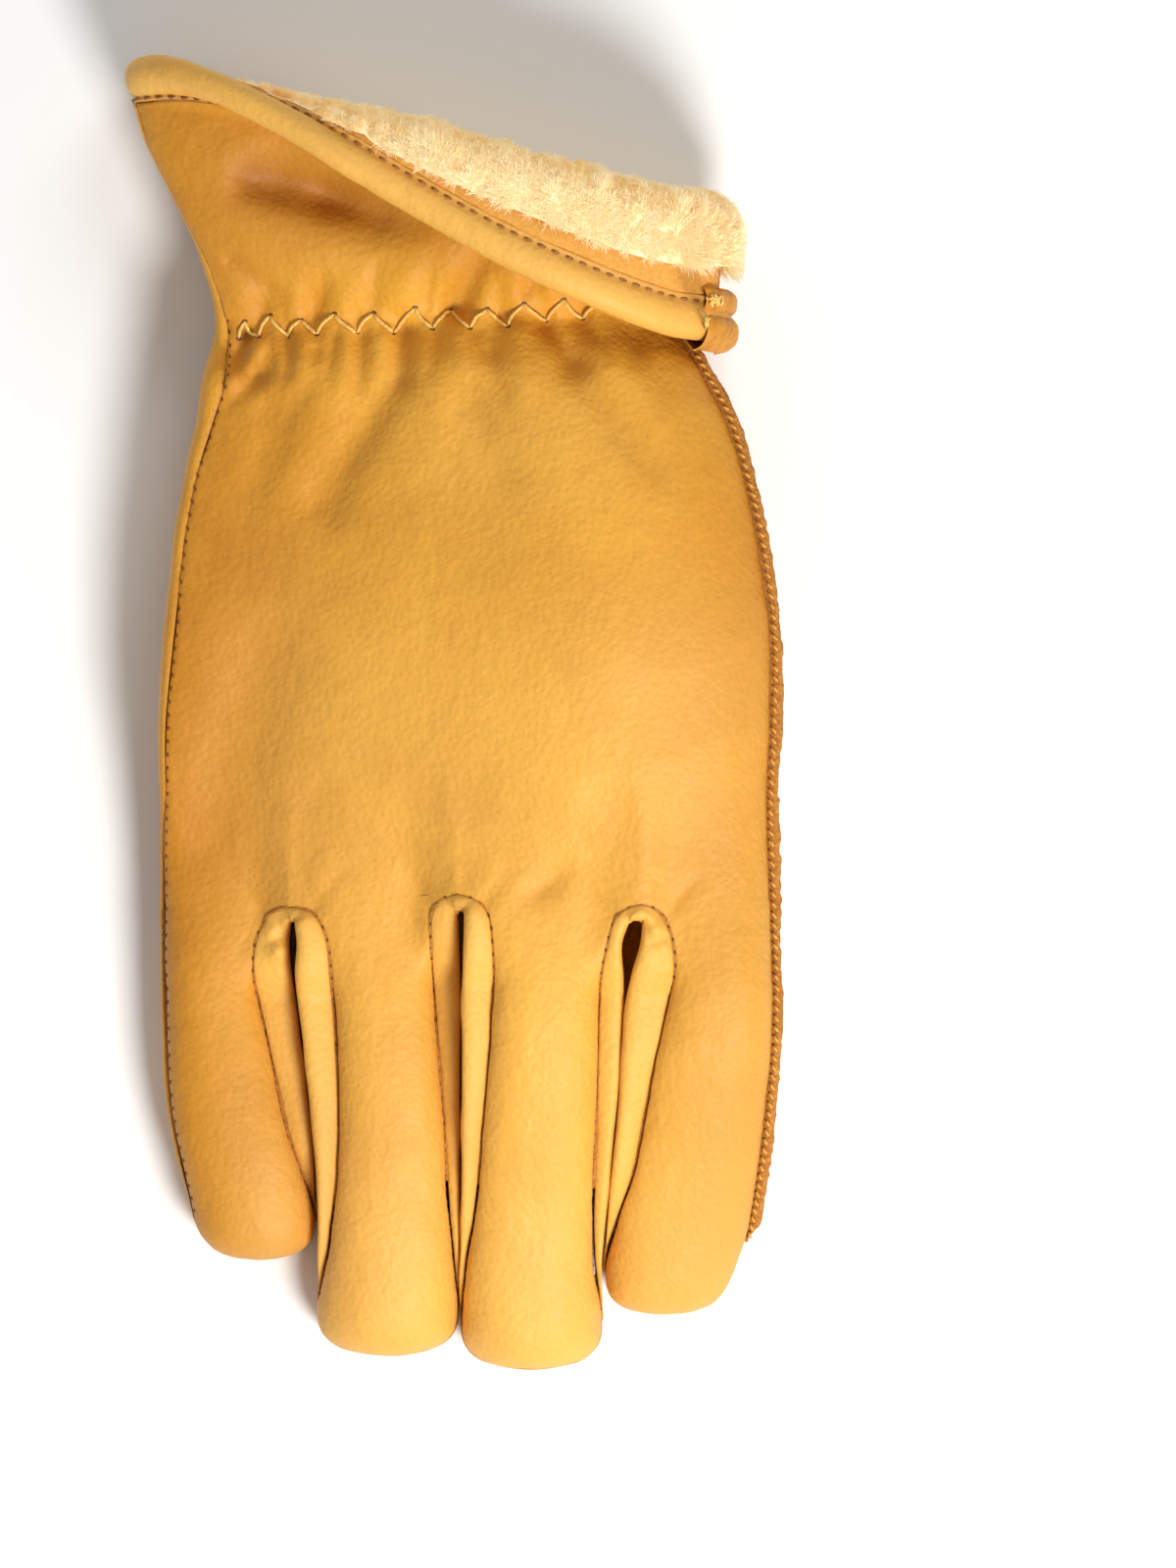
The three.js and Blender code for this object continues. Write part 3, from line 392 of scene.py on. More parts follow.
def finger_edge(index, side, y):
    """Edge of the back leather on one side of a finger."""
    if index == 0 and side == 0:
        return outline_at(y, "seam")
    if index == 3 and side == 1:
        return outline_at(y, "right") - SIDE_SEAM_IN
    return slit_read(index, side, y, ("right", "left")[side])


def finger_side(index, side, y):
    """Widest point of a finger on one side."""
    if index == 0 and side == 0:
        return outline_at(y, "left")
    if index == 3 and side == 1:
        return outline_at(y, "right")
    away = 1 - 2 * side
    return slit_read(index, side, y, "gap") + away * slit_read(index, side, y, "open")


def slit_top(index, side):
    return slit_beside(index, side)["y"][0]


def crotch_y(index, u):
    return mix(slit_top(index, 0), slit_top(index, 1), u)


def rounded_off(share, power):
    """Share of the full size at a share of the way in from a rounded end."""
    return (1 - (1 - share) ** power) ** (1 / power)


def tip_share(index, y):
    """How much of its full width a finger has near its tip."""
    to_tip = np.clip((y - FINGERS[index]["tip_y"]) / TIP_NARROWS, 0, 1)
    return rounded_off(mix(TIP_START, 1, to_tip), TIP_POWER)


def tip_height_share(index, y):
    to_tip = np.clip((y - FINGERS[index]["tip_y"]) / TIP_THINS, 0, 1)
    return rounded_off(to_tip, TIP_THIN_POWER)


def hand_heights(x, y):
    """Back and palm heights where the fingers are one hand."""
    low = outline_at(y, "left")
    high = outline_at(y, "right")
    across = np.clip((x - low) / (high - low), 0, 1) * 2 - 1
    half = outline_at(y, "thick") / 2
    middle = lift_at(x, y) + half
    seam = mix(LEFT_SEAM_HIGH, EDGE_HALF_HIGH, (across + 1) / 2)
    top = middle + seam + (half - seam) * arch(across, HAND_BACK_POWER)
    bottom = middle - EDGE_HALF_HIGH - (half - 0.4) * arch(across, HAND_PALM_POWER)
    return top, bottom


def finger_heights(index, u, y, strip):
    """Back and palm heights on one finger."""
    finger = FINGERS[index]
    across = 2 * u - 1
    lift = lift_at(finger["centre"], y)
    middle = lift + finger["high"] * mix(0.36, 0.48, smooth((y - finger["tip_y"]) / 24))
    half = (finger["high"] / 2) * tip_height_share(index, y)
    edge = np.minimum(strip, half)
    if index in (0, 3):
        outer = (u < 0.5) if index == 0 else (u > 0.5)
        edge = np.where(outer, np.minimum(mix(EDGE_HALF_HIGH, strip, 0.4), half), edge)
    top = middle + edge + (half - edge) * arch(across, FINGER_BACK_POWER)
    bottom = middle - edge - (half + 0.6 - edge) * arch(across, FINGER_PALM_POWER)
    return top, bottom


def knuckle_turn(y):
    return smooth((KNUCKLE_FROM - y) / KNUCKLE_LONG)


def below_slits(index, u, y):
    return smooth((crotch_y(index, u) - y) / SLIT_FADE)


def knuckle_share(index, u, y):
    """How far the back has turned from one hand into fingers, less beside the slits."""
    outer = (u < 0.5) if index == 0 else (u > 0.5) & (index == 3)
    beside = np.where(outer, 0, smooth((np.abs(2 * u - 1) - 0.35) / 0.65))
    return knuckle_turn(y) * (1 - (1 - below_slits(index, u, y)) * beside)


def strip_height(along):
    taper = np.clip((along - STRIP_TAPER_FROM) / (STRIP_END - STRIP_TAPER_FROM), 0, 1)
    return STRIP_HALF_HEIGHT * (1 - taper ** 2)


def stack(x, y, z):
    return np.stack(np.broadcast_arrays(x, y, z), axis=-1).astype(float)


def back_height(index, u, x, y, strip):
    """Height of the back, which turns from one hand into fingers, with its main folds."""
    hand, _ = hand_heights(x, y)
    finger, _ = finger_heights(index, u, y, strip)
    return mix(hand, finger, knuckle_share(index, u, y)) - valleys(x, y, FOLDS)


def palm_height(index, u, x, y, strip):
    _, hand = hand_heights(x, y)
    _, finger = finger_heights(index, u, y, strip)
    return np.maximum(mix(hand, finger, knuckle_turn(y)), 0)


def finger_lines(y, inset=0):
    """The five lines that part the hand into fingers, at the little-finger side first."""
    first = outline_at(y, "left") + inset if inset else outline_at(y, "seam")
    last = outline_at(y, "right") - SIDE_SEAM_IN - inset
    return [first, *(slit["gap"][0] for slit in SLITS), last]


def hand_point(face, index, u, y):
    """Points of the back or the palm in the hand and cuff tube."""
    lines = finger_lines(y, 0 if face == "back" else PALM_SEAM_IN)
    even = smooth((y - WRIST_Y + LINES_EVEN_OVER) / LINES_EVEN_OVER)
    for line in (1, 2, 3):
        lines[line] = mix(lines[line], mix(lines[0], lines[4], line / 4), even)
    x = mix(lines[index], lines[index + 1], u)
    if face == "back":
        return stack(x, y, back_height(index, u, x, y, STRIP_HALF_HEIGHT))
    rested = palm_height(index, u, x, y, STRIP_HALF_HEIGHT)
    held = smooth((y - HELD_FROM) / HELD_OVER) * read(CUFF_TURN, "across", (index + u) / 4, "drop")
    soft = HELD_SOFT * smooth(held / 4)
    return stack(x, y, (rested + held + np.sqrt((rested - held) ** 2 + soft ** 2)) / 2)


def share_in_hand(index, x, y):
    """Where x lies across a finger's part of the hand, on the line of its slit tops."""
    lines = finger_lines(y)
    return np.clip((x - lines[index]) / (lines[index + 1] - lines[index]), 0, 1)


def finger_point(face, index, u, along):
    """Points of the back or the palm on a finger below its slits."""
    finger = FINGERS[index]
    y = mix(crotch_y(index, u), finger["tip_y"], along)
    strip = strip_height(along)
    edges = [mix(finger_side(index, side, y), finger_edge(index, side, y),
                 strip / STRIP_HALF_HEIGHT) for side in (0, 1)]
    x = finger["tip_x"] + (mix(*edges, u) - finger["tip_x"]) * tip_share(index, y)
    bowed = y + TIP_BOW * (2 * u - 1) ** 2 * smooth((along - 0.88) / 0.12)
    if face == "palm":
        return stack(x, bowed, palm_height(index, u, x, y, strip))
    u_back = mix(share_in_hand(index, x, y), u, below_slits(index, u, y))
    return stack(x, bowed, back_height(index, u_back, x, y, strip))


def side_point(top, bottom, widest, share):
    """Points of a side wall between a back edge and a palm edge."""
    share = np.asarray(share, float)
    down = share - 0.12 * np.sin(2 * np.pi * share)
    point = mix(top, bottom, down[..., None])
    bulge = np.minimum(1.12 * np.sin(np.pi * np.clip(share, 0, 1)) ** 0.7, 1)
    point[..., 0] += (widest - point[..., 0]) * bulge
    return point


def cuff_outward(face, across, u):
    """Directions straight out of the cuff tube."""
    side = np.asarray(across * 2 - 1, float)
    turned = side ** 3 * CUFF_TURNED
    if face in ("left", "right"):
        turned = np.sign(side) * mix(CUFF_TURNED, np.pi - CUFF_TURNED, u)
    elif face == "palm":
        turned = np.pi - turned
    return stack(np.sin(turned), 0, np.cos(turned))


def cuff_tube(face, index, u, y):
    if face in ("back", "palm"):
        return hand_point(face, index, u, y)
    end = 0.0 if index == 0 else 1.0
    top = hand_point("back", index, end, y)
    bottom = hand_point("palm", index, end, y)
    return side_point(top, bottom, outline_at(y, face), u)


def cuff_run(across):
    """How the cuff runs at one place across: its turn, and the wall, roll and turned part."""
    turn = np.pi * read(CUFF_TURN, "across", across, "turn")
    roll_deep = ROLL_RADIUS + LEATHER_THICK + PILE_THICK
    wall_end = read(CUFF_TURN, "across", across, "fold") - roll_deep
    flat = np.maximum(read(CUFF_TURN, "across", across, "back") - roll_deep - 0.3 - HEM_WIDE, 0.4)
    return turn, wall_end - WRIST_Y, ROLL_RADIUS * turn, flat


def cuff_far(across, share):
    """How far along the cuff a share of its rows comes."""
    turn, wall, roll, flat = cuff_run(across)
    in_roll = wall + (share - WALL_KNOT) / (ROLL_KNOT - WALL_KNOT) * roll
    in_flat = wall + roll + (share - ROLL_KNOT) / (1 - ROLL_KNOT) * flat
    knotted = np.where(share <= WALL_KNOT, share / WALL_KNOT * wall,
                       np.where(share <= ROLL_KNOT, in_roll, in_flat))
    return mix(share * (wall + roll + flat), knotted, smooth(turn / 2.2))


def cuff_point(face, index, u, far):
    """Points after a length along the cuff, with the directions along it and into it."""
    u = np.asarray(u, float)
    across = {"left": 0.0, "right": 1.0}.get(face, (index + u) / 4)
    turn, wall, roll, flat = cuff_run(across)
    out = cuff_outward(face, across, u)
    angle = np.clip(far - wall, 0, roll) / ROLL_RADIUS
    beyond = np.maximum(far - wall - roll, 0)
    y = (WRIST_Y + np.minimum(far, wall) + ROLL_RADIUS * np.sin(angle)
         + beyond * np.cos(angle))
    away = ROLL_RADIUS * (1 - np.cos(angle)) + beyond * np.sin(angle)
    point = cuff_tube(face, index, u, y) + out * away[..., None]
    runs = stack(0, np.cos(angle), 0) + out * np.sin(angle)[..., None]
    inward = stack(0, np.sin(angle), 0) - out * np.cos(angle)[..., None]
    return point, runs, inward


def across_spread(count):
    """Places across a piece, closer together near both edges."""
    even = np.linspace(0, 1, count + 1)
    return even - 0.6 * np.sin(2 * np.pi * even) / (2 * np.pi)


def row_spread(count, start, end):
    """Places along a piece, closer together at the ends by these shares."""
    even = np.linspace(0, 1, count + 1)
    steps = 1 - start * np.exp(-even[:-1] * 12) - end * np.exp(-(1 - even[1:]) * 12)
    return np.concatenate([[0], np.cumsum(steps)]) / steps.sum()


CUFF_SHARES = np.linspace(1, 0, CUFF_ROWS + 1)
HAND_SHARES = row_spread(HAND_ROWS, 0, 0.7)
FINGER_SHARES = row_spread(FINGER_ROWS, 0.85, 0.75)
STRIP_ROWS = int(np.searchsorted(FINGER_SHARES, STRIP_END))


def tube_rows(face, index, u):
    """Grid of one finger column from the rim down to just above the slit tops."""
    far = cuff_far((index + u[None, :]) / 4, CUFF_SHARES[:, None])
    cuff = cuff_point(face, index, np.broadcast_to(u, far.shape), far)[0]
    y = mix(WRIST_Y, crotch_y(index, u)[None, :], HAND_SHARES[1:-1, None])
    return np.concatenate([cuff, hand_point(face, index, u[None, :], y)])


TUBE_ROWS = CUFF_ROWS + HAND_ROWS


def face_columns(face, count):
    """Grids of the four finger columns of one face, which meet where they are one hand."""
    u = across_spread(count)
    columns = []
    for index in range(4):
        finger = finger_point(face, index, u[None, :], FINGER_SHARES[:, None])
        columns.append(np.concatenate([tube_rows(face, index, u), finger]))
    fade = 1 - smooth(FINGER_SHARES / 0.15)
    near_right = smooth((u - 0.55) / 0.45)[None, :, None]
    near_left = smooth((0.45 - u) / 0.45)[None, :, None]
    for index in range(3):
        gap = columns[index + 1][:, 0] - columns[index][:, -1]
        gap[TUBE_ROWS:] = gap[TUBE_ROWS] * fade[:, None]
        columns[index] += gap[:, None] / 2 * near_right
        columns[index + 1] -= gap[:, None] / 2 * near_left
    return columns


def closed_tips(palm, back):
    """Palm columns whose tips end on the edges of the back."""
    past = np.nonzero(FINGER_SHARES >= STRIP_END)[0] + TUBE_ROWS
    u_back = across_spread(back[0].shape[1] - 1)
    u_palm = across_spread(palm[0].shape[1] - 1)
    for below, above in zip(palm, back):
        below[past, 0] = above[past, 0]
        below[past, -1] = above[past, -1]
        for axis in range(3):
            below[-1, :, axis] = np.interp(u_palm, u_back, above[-1, :, axis])
    return palm


def wall_edges(index, side, back, palm):
    """Edges of the back and of the palm along one side of a finger."""
    rows = slice(TUBE_ROWS, TUBE_ROWS + STRIP_ROWS + 1)
    return back[index][rows, -side][:, None], palm[index][rows, -side][:, None]


def finger_wall(index, side, back, palm):
    """Wall of a finger's outer side from the back's edge to the palm's edge."""
    top, bottom = wall_edges(index, side, back, palm)
    y = top[..., 1]
    widest = mix(FINGERS[index]["tip_x"], finger_side(index, side, y), tip_share(index, y))
    return side_point(top, bottom, widest, np.linspace(0, 1, SIDE_DOWN + 1)[None, :])


def slit_wall(index, side, back, palm):
    """Wall beside a slit: a full, rounded welt at the top that closes on the gap."""
    top, bottom = wall_edges(index, side, back, palm)
    down = np.linspace(0, 1, SLIT_DOWN + 1)[None, :] ** 1.5
    inside = slit_top(index, side) - top[..., 1]
    welt = np.sin(np.pi / 2 * np.clip(down / WELT_DOWN, 0, 1)) * (1 - smooth((down - 0.7) / 0.3))
    y = top[..., 1] - WELT_WIDE * np.exp(-inside / WELT_FADE) * welt
    full = finger_side(index, side, y)
    widest = mix(FINGERS[index]["tip_x"], full, tip_share(index, top[..., 1]))
    inward = np.sin(np.pi / 2 * np.clip(down / FULL_DOWN, 0, 1)) ** 0.9
    inward = inward * np.minimum(1, ((1 - down) / 0.25)) ** 0.5
    x = mix(mix(top[..., 0], bottom[..., 0], down), widest, inward)
    drop = down - 0.15 * np.sin(2 * np.pi * down)
    wide = np.maximum(np.clip(np.abs(top[..., 0] - widest) / 4, 0, 1), 0.9 * np.exp(-inside / 2))
    puff = WELT_HIGH * wide * np.sin(np.pi * np.clip(down / PUFF_DOWN, 0, 1)) ** 0.8
    z = mix(top[..., 2], bottom[..., 2], drop) + puff
    return stack(x, y, z)


def hand_side(side):
    """Wall of the cuff and hand on the little-finger or index side."""
    face = ("left", "right")[side]
    index = (0, 3)[side]
    down = np.linspace(0, 1, SIDE_DOWN + 1)
    far = cuff_far(np.full((1, len(down)), float(side)), CUFF_SHARES[:, None])
    cuff = cuff_point(face, index, np.broadcast_to(down, far.shape), far)[0]
    y = mix(WRIST_Y, crotch_y(index, float(side)), HAND_SHARES[1:-1, None])
    return np.concatenate([cuff, cuff_tube(face, index, down[None, :], y)])


def grid_quads(rows, columns):
    """Point numbers of a grid, and its faces."""
    number = np.arange(rows * columns).reshape(rows, columns)
    quads = np.stack([number[:-1, :-1], number[1:, :-1], number[1:, 1:], number[:-1, 1:]], -1)
    return number, quads.reshape(-1, 4)


def welded(grids):
    """One mesh of several grids, with points that meet made one. A grid may be flipped."""
    points = []
    faces = []
    numbers = []
    count = 0
    for grid, flip in grids:
        number, quads = grid_quads(*grid.shape[:2])
        numbers.append(number + count)
        faces.append((quads[:, ::-1] if flip else quads) + count)
        points.append(grid.reshape(-1, 3))
        count += number.size
    points = np.concatenate(points)
    _, first, order = np.unique(np.round(points, 2), axis=0, return_index=True,
                                return_inverse=True)
    order = order.reshape(-1)
    return points[first], order[np.concatenate(faces)], [order[number] for number in numbers]


def point_normals(points, faces):
    """Normals at the points of a mesh of quads."""
    across = points[faces[:, 2]] - points[faces[:, 0]]
    other = points[faces[:, 3]] - points[faces[:, 1]]
    face_normals = np.cross(across, other)
    normals = np.zeros_like(points)
    for corner in range(4):
        np.add.at(normals, faces[:, corner], face_normals)
    return unit(normals)


def open_points(faces):
    """Numbers of the points on the open edges of a mesh."""
    edges = np.concatenate([faces[:, [a, (a + 1) % 4]] for a in range(4)])
    edges = np.sort(edges[edges[:, 0] != edges[:, 1]], axis=1)
    kept, count = np.unique(edges, axis=0, return_counts=True)
    return np.unique(kept[count == 1])


def near_points(targets):
    """Tree that finds the nearest of these points."""
    tree = KDTree(len(targets))
    for number, target in enumerate(targets):
        tree.insert(target, number)
    tree.balance()
    return tree


def distance_to(points, targets, most):
    """Distance from each point to the nearest target, up to the most that matters."""
    tree = near_points(targets)
    low = targets.min(axis=0) - most
    high = targets.max(axis=0) + most
    inside = np.all((points > low) & (points < high), axis=1)
    far = np.full(len(points), float(most))
    for number in np.nonzero(inside)[0]:
        far[number] = min(tree.find(points[number])[2], most)
    return far


def past_tip(x, y):
    """Distance in from the tip of the nearest finger."""
    tip_x = np.array([finger["tip_x"] for finger in FINGERS])
    tip_y = np.array([finger["tip_y"] for finger in FINGERS])
    nearest = np.argmin(np.abs(x[:, None] - tip_x[None, :]), axis=1)
    return y - tip_y[nearest]


def rolled_edges(points, faces, radius, dip):
    """Leather that rounds over at its seams, and how far each point is from a seam.

    It rounds over less at the fingertips and behind the wrist.
    """
    far = distance_to(points, points[open_points(faces)], radius * 2.5)
    share = np.clip(1 - far / radius, 0, 1)
    drop = dip * (1 - np.sqrt(1 - share ** 2 * 0.98))
    drop *= mix(0.25, 1, smooth((past_tip(points[:, 0], points[:, 1]) - 1) / 8))
    drop *= mix(0.15, 1, smooth((88 - points[:, 1]) / 8))
    return points - point_normals(points, faces) * drop[:, None], far


def linked(name, data):
    """New object with that data, in the scene."""
    made = bpy.data.objects.new(name, data)
    bpy.context.scene.collection.objects.link(made)
    return made


def make_mesh(name, points, faces, attributes=None):
    """Mesh object in metres from points in millimetres, with smooth faces."""
    kept = [list(dict.fromkeys(face)) for face in faces.tolist()]
    kept = [face for face in kept if len(face) > 2]
    mesh = bpy.data.meshes.new(name)
    mesh.from_pydata((points * MM).tolist(), [], kept)
    mesh.update()
    mesh.polygons.foreach_set("use_smooth", [True] * len(mesh.polygons))
    for key, values in (attributes or {}).items():
        layer = mesh.attributes.new(key, "FLOAT", "POINT")
        layer.data.foreach_set("value", np.asarray(values, np.float32))
    return linked(name, mesh)


def thicken(piece, thick, far=None):
    """Give a sheet its thickness, thinner where it is near one of its edges."""
    modifier = piece.modifiers.new("thickness", "SOLIDIFY")
    modifier.thickness = thick * MM
    modifier.offset = -1
    modifier.use_quality_normals = True
    if far is None:
        return
    group = piece.vertex_groups.new(name="sheet")
    share = np.round(np.clip(far / SHEET_FULL_IN, 0.1, 1), 1)
    for step in np.unique(share):
        numbers = np.nonzero(share == step)[0].tolist()
        group.add(numbers, float(step), "REPLACE")
    modifier.vertex_group = "sheet"


def finish_piece(piece, material, slot, *nodes):
    piece.data.materials.append(material)
    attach(piece, "root")
    if nodes:
        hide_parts(*nodes)


class Nodes:
    """Short way to build a material's node tree."""

    def __init__(self, name):
        self.material = bpy.data.materials.new(name)
        self.material.use_nodes = True
        self.tree = self.material.node_tree
        self.place = self.add("ShaderNodeTexCoord").outputs["Object"]

    def add(self, kind, **settings):
        node = self.tree.nodes.new(kind)
        for key, value in settings.items():
            if key in node.inputs:
                node.inputs[key].default_value = value
            else:
                setattr(node, key, value)
        return node

    def feed(self, socket, value):
        """Link an output to a socket, or set a number or a colour on it."""
        if isinstance(value, bpy.types.NodeSocket):
            self.tree.links.new(value, socket)
        elif socket.type == "RGBA":
            socket.default_value = (*value, 1)
        else:
            socket.default_value = value

    def shaded(self, inputs):
        """The finished material, with these inputs of its shader."""
        shader = self.tree.nodes["Principled BSDF"]
        for key, value in inputs.items():
            self.feed(shader.inputs[key], value)
        return self.material

    def noise(self, scale, detail=3.0, roughness=0.5, distortion=0.0):
        node = self.add("ShaderNodeTexNoise", Scale=scale, Detail=detail, Roughness=roughness,
                        Distortion=distortion)
        self.feed(node.inputs["Vector"], self.place)
        return node.outputs["Fac"]

    def cells(self, scale):
        node = self.add("ShaderNodeTexVoronoi", feature="SMOOTH_F1", Scale=scale)
        self.feed(node.inputs["Vector"], self.place)
        return node.outputs["Distance"]

    def attribute(self, name):
        return self.add("ShaderNodeAttribute", attribute_name=name).outputs["Fac"]

    def times(self, value, strength):
        node = self.add("ShaderNodeMath", operation="MULTIPLY")
        self.feed(node.inputs[0], value)
        self.feed(node.inputs[1], strength)
        return node.outputs[0]

    def ramp(self, factor, stops):
        node = self.add("ShaderNodeValToRGB")
        while len(node.color_ramp.elements) < len(stops):
            node.color_ramp.elements.new(0.5)
        for element, (place, color) in zip(node.color_ramp.elements, stops):
            element.position = place
            element.color = (*color, 1)
        self.feed(node.inputs["Fac"], factor)
        return node.outputs["Color"]

    def blend(self, mode, factor, a, b):
        node = self.add("ShaderNodeMix", data_type="RGBA", blend_type=mode)
        for number, value in ((0, factor), (6, a), (7, b)):
            self.feed(node.inputs[number], value)
        return node.outputs[2]

    def bump(self, height, strength, distance, normal=None):
        node = self.add("ShaderNodeBump", Strength=strength, Distance=distance)
        self.feed(node.inputs["Height"], height)
        if normal is not None:
            self.feed(node.inputs["Normal"], normal)
        return node.outputs["Normal"]


def linear(red, green, blue):
    """Linear colour from the 0 to 255 values that a picture shows."""
    def one(value):
        value /= 255
        return value / 12.92 if value <= 0.04045 else ((value + 0.055) / 1.055) ** 2.4
    return one(red), one(green), one(blue)


# Painted highlight and painted shade over the leather's own colour, by an attribute of the points:
# a paler painted highlight, a darker painted shade over broad areas, and painted shade in seams,
# folds and hollows.
LEATHER_TONES = [
    # attribute, strength, red, green, blue
    ("painted_highlight", 0.8, 252, 206, 118),
    ("deep", 0.37, 168, 92, 18),
    ("crease_shade", 0.62, 158, 92, 30),
]


def leather_material():
    nodes = Nodes("grain_leather")
    color = nodes.ramp(nodes.noise(22, 4, 0.55, 0.3), [
        (0.30, linear(212, 142, 32)),
        (0.50, linear(226, 158, 40)),
        (0.72, linear(236, 171, 52)),
    ])
    speckles = nodes.ramp(nodes.noise(900, 2, 0.6), [(0.35, (0.80, 0.80, 0.80)), (0.6, (1, 1, 1))])
    color = nodes.blend("MULTIPLY", 0.35, color, speckles)
    for name, strength, *tone in LEATHER_TONES:
        factor = nodes.times(nodes.attribute(name), strength)
        color = nodes.blend("MIX", factor, color, linear(*tone))
    rough = nodes.add("ShaderNodeMapRange", **{"To Min": 0.50, "To Max": 0.64})
    nodes.feed(rough.inputs["Value"], nodes.noise(160, 3, 0.6))
    wrinkles = nodes.bump(nodes.noise(420, 5, 0.62, 0.6), 0.20, 0.0007)
    pebbles = nodes.bump(nodes.cells(900), 0.55, 0.00032, wrinkles)
    return nodes.shaded({
        "Base Color": color,
        "Roughness": rough.outputs[0],
        "Normal": nodes.bump(nodes.noise(2300, 4, 0.65), 0.35, 0.00016, pebbles),
        "Specular IOR Level": 0.38,
        "Subsurface Weight": 0.06,
        "Subsurface Radius": (0.0012, 0.0006, 0.0002),
    })


def noise_material(name, texture, stops, inputs, bump=None):
    """Material coloured by one noise, which also roughens it where it has a bump."""
    nodes = Nodes(name)
    height = nodes.noise(*texture)
    inputs = {"Base Color": nodes.ramp(height, stops), **inputs}
    if bump:
        inputs["Normal"] = nodes.bump(height, *bump)
    return nodes.shaded(inputs)


def raw_material(name, low, middle, high, rough):
    """Flesh side and cut edges of the leather, duller and rougher than the grain side."""
    stops = [(0.30, linear(*low)), (0.52, linear(*middle)), (0.76, linear(*high))]
    return noise_material(name, (1400, 4, 0.7, 0.4), stops,
                          {"Roughness": 0.85, "Specular IOR Level": 0.2}, (rough, 0.0005))


def pile_material():
    nodes = Nodes("pile_fibre")
    # The shade attribute is each fibre's random tone with painted shade at its root and towards
    # its tuft's edge.
    color = nodes.ramp(nodes.attribute("shade"), [
        (0.0, linear(250, 206, 130)),
        (0.45, linear(255, 230, 172)),
        (1.0, linear(255, 246, 214)),
    ])
    tints = nodes.ramp(nodes.noise(120, 3, 0.6), [(0.35, (0.98, 0.92, 0.80)), (0.6, (1, 1, 1))])
    return nodes.shaded({
        "Base Color": nodes.blend("MULTIPLY", 0.5, color, tints),
        "Roughness": 0.8,
        "Specular IOR Level": 0.1,
        # A faint emission, painted light that brightens the fibres as light scattered among them
        # would.
        "Emission Color": linear(255, 222, 160),
        "Emission Strength": 0.09,
    })


def thread_material(name, low, high):
    return noise_material(name, (2600, 2, 0.5), [(0.35, linear(*low)), (0.65, linear(*high))],
                          {"Roughness": 0.5}, (0.5, 0.0002))


def floor_material():
    stops = [(0.3, (0.90, 0.90, 0.89)), (0.7, (0.94, 0.94, 0.93))]
    return noise_material("plain_floor", (3, 2), stops, {"Roughness": 0.8})


leather = leather_material()
raw = raw_material("cut_edge", (150, 90, 34), (188, 124, 54), (220, 160, 86), 0.7)
flesh = raw_material("flesh_side", (206, 142, 58), (224, 160, 74), (238, 178, 92), 0.3)
pile = pile_material()
pale_thread = thread_material("pale_thread", (216, 166, 70), (248, 212, 120))
edge_thread = thread_material("edge_thread", (204, 136, 36), (234, 174, 70))
# Dark brown of the seam stitches, and painted shade of the needle holes.
dark_stitch_and_hole_shade = thread_material("dark_stitch_and_painted_hole_shade", (96, 46, 12), (120, 62, 20))
dark_thread = thread_material("seam_thread", (124, 68, 22), (178, 108, 42))


def elastic_pull(x, y):
    """Drop of the leather along the elastic."""
    held = np.clip(x, ZIGZAG[0][0], ZIGZAG[-1][0])
    line = ELASTIC_Y + (held + 42) * ELASTIC_SLOPE
    pull = ELASTIC_DEEP * np.exp(-((y - line) / 3.2) ** 2)
    ripple = RIPPLE_DEEP * np.cos(2 * np.pi * (x + 40.5) / RIPPLE_LONG)
    ripple *= np.exp(-((y - line) / 7.0) ** 2)
    inside = smooth((x + 46) / 4) * smooth((44 - x) / 4)
    return (pull + ripple) * inside


def relief(points, normals):
    """Fine folds and soft unevenness of the back leather."""
    x, y, _ = points.T
    up = np.clip(normals[:, 2], 0, 1)
    on_hand = smooth((118 - y) / 8)
    depth = valleys(x, y, FINE_FOLDS, FOLD_NARROWS) + elastic_pull(x, y)
    soft = 0.28 * noise(x, y, 17, 3) + 0.14 * noise(x, y, 7, 5)
    fine = 0.10 * noise(x * 1.6, y, 2.6, 7)
    lowered = points - (depth * up * on_hand)[:, None] * UP
    return lowered + normals * (soft + fine)[:, None]


def back_tones(points, far):
    """Painted shade in seams, folds and the hollow under the cuff, a darker painted shade at the
    sides and towards the cuff, and a painted highlight, at the points of the back panel.
    """
    x, y, _ = points.T
    # Painted shade along the seams, in the folds and in the hollow under the cuff.
    near = np.exp(-((far / 0.42) ** 2)) * mix(1, smooth((86 - y) / 8), x < 30)
    folded = 0.5 * valleys(x, y, FINE_FOLDS, FOLD_NARROWS)
    folded = np.maximum(folded, 0) + 0.1 * valleys(x, y, FOLDS)
    hollow_shade = valleys(x, y, PAINTED_HOLLOW_SHADE, FOLD_NARROWS)
    # Painted shade, darker towards both sides of the hand and, in the deep tone below, towards the
    # cuff.
    deep = mix(1, 0.1, smooth((x + 54) / 44)) + 0.6 * smooth((x - 22) / 34)
    # Painted highlight: paler towards the fingers and in a broad patch on the middle of the back,
    # less at the little-finger edge.
    painted_highlight = 0.26 * smooth((56 - y) / 60) + 0.16 * smooth((-70 - y) / 45)
    painted_highlight += 0.2 * np.exp(-(((x - 8) / 26) ** 2) - ((y - 52) / 18) ** 2)
    return {
        "crease_shade": np.clip(near * 0.5 + folded * 0.26 * (y < 110) + hollow_shade, 0, 1),
        "deep": np.clip(deep + 0.7 * smooth((y - 80) / 14), 0, 1),
        "painted_highlight": painted_highlight * smooth((x + 54) / 22),
    }


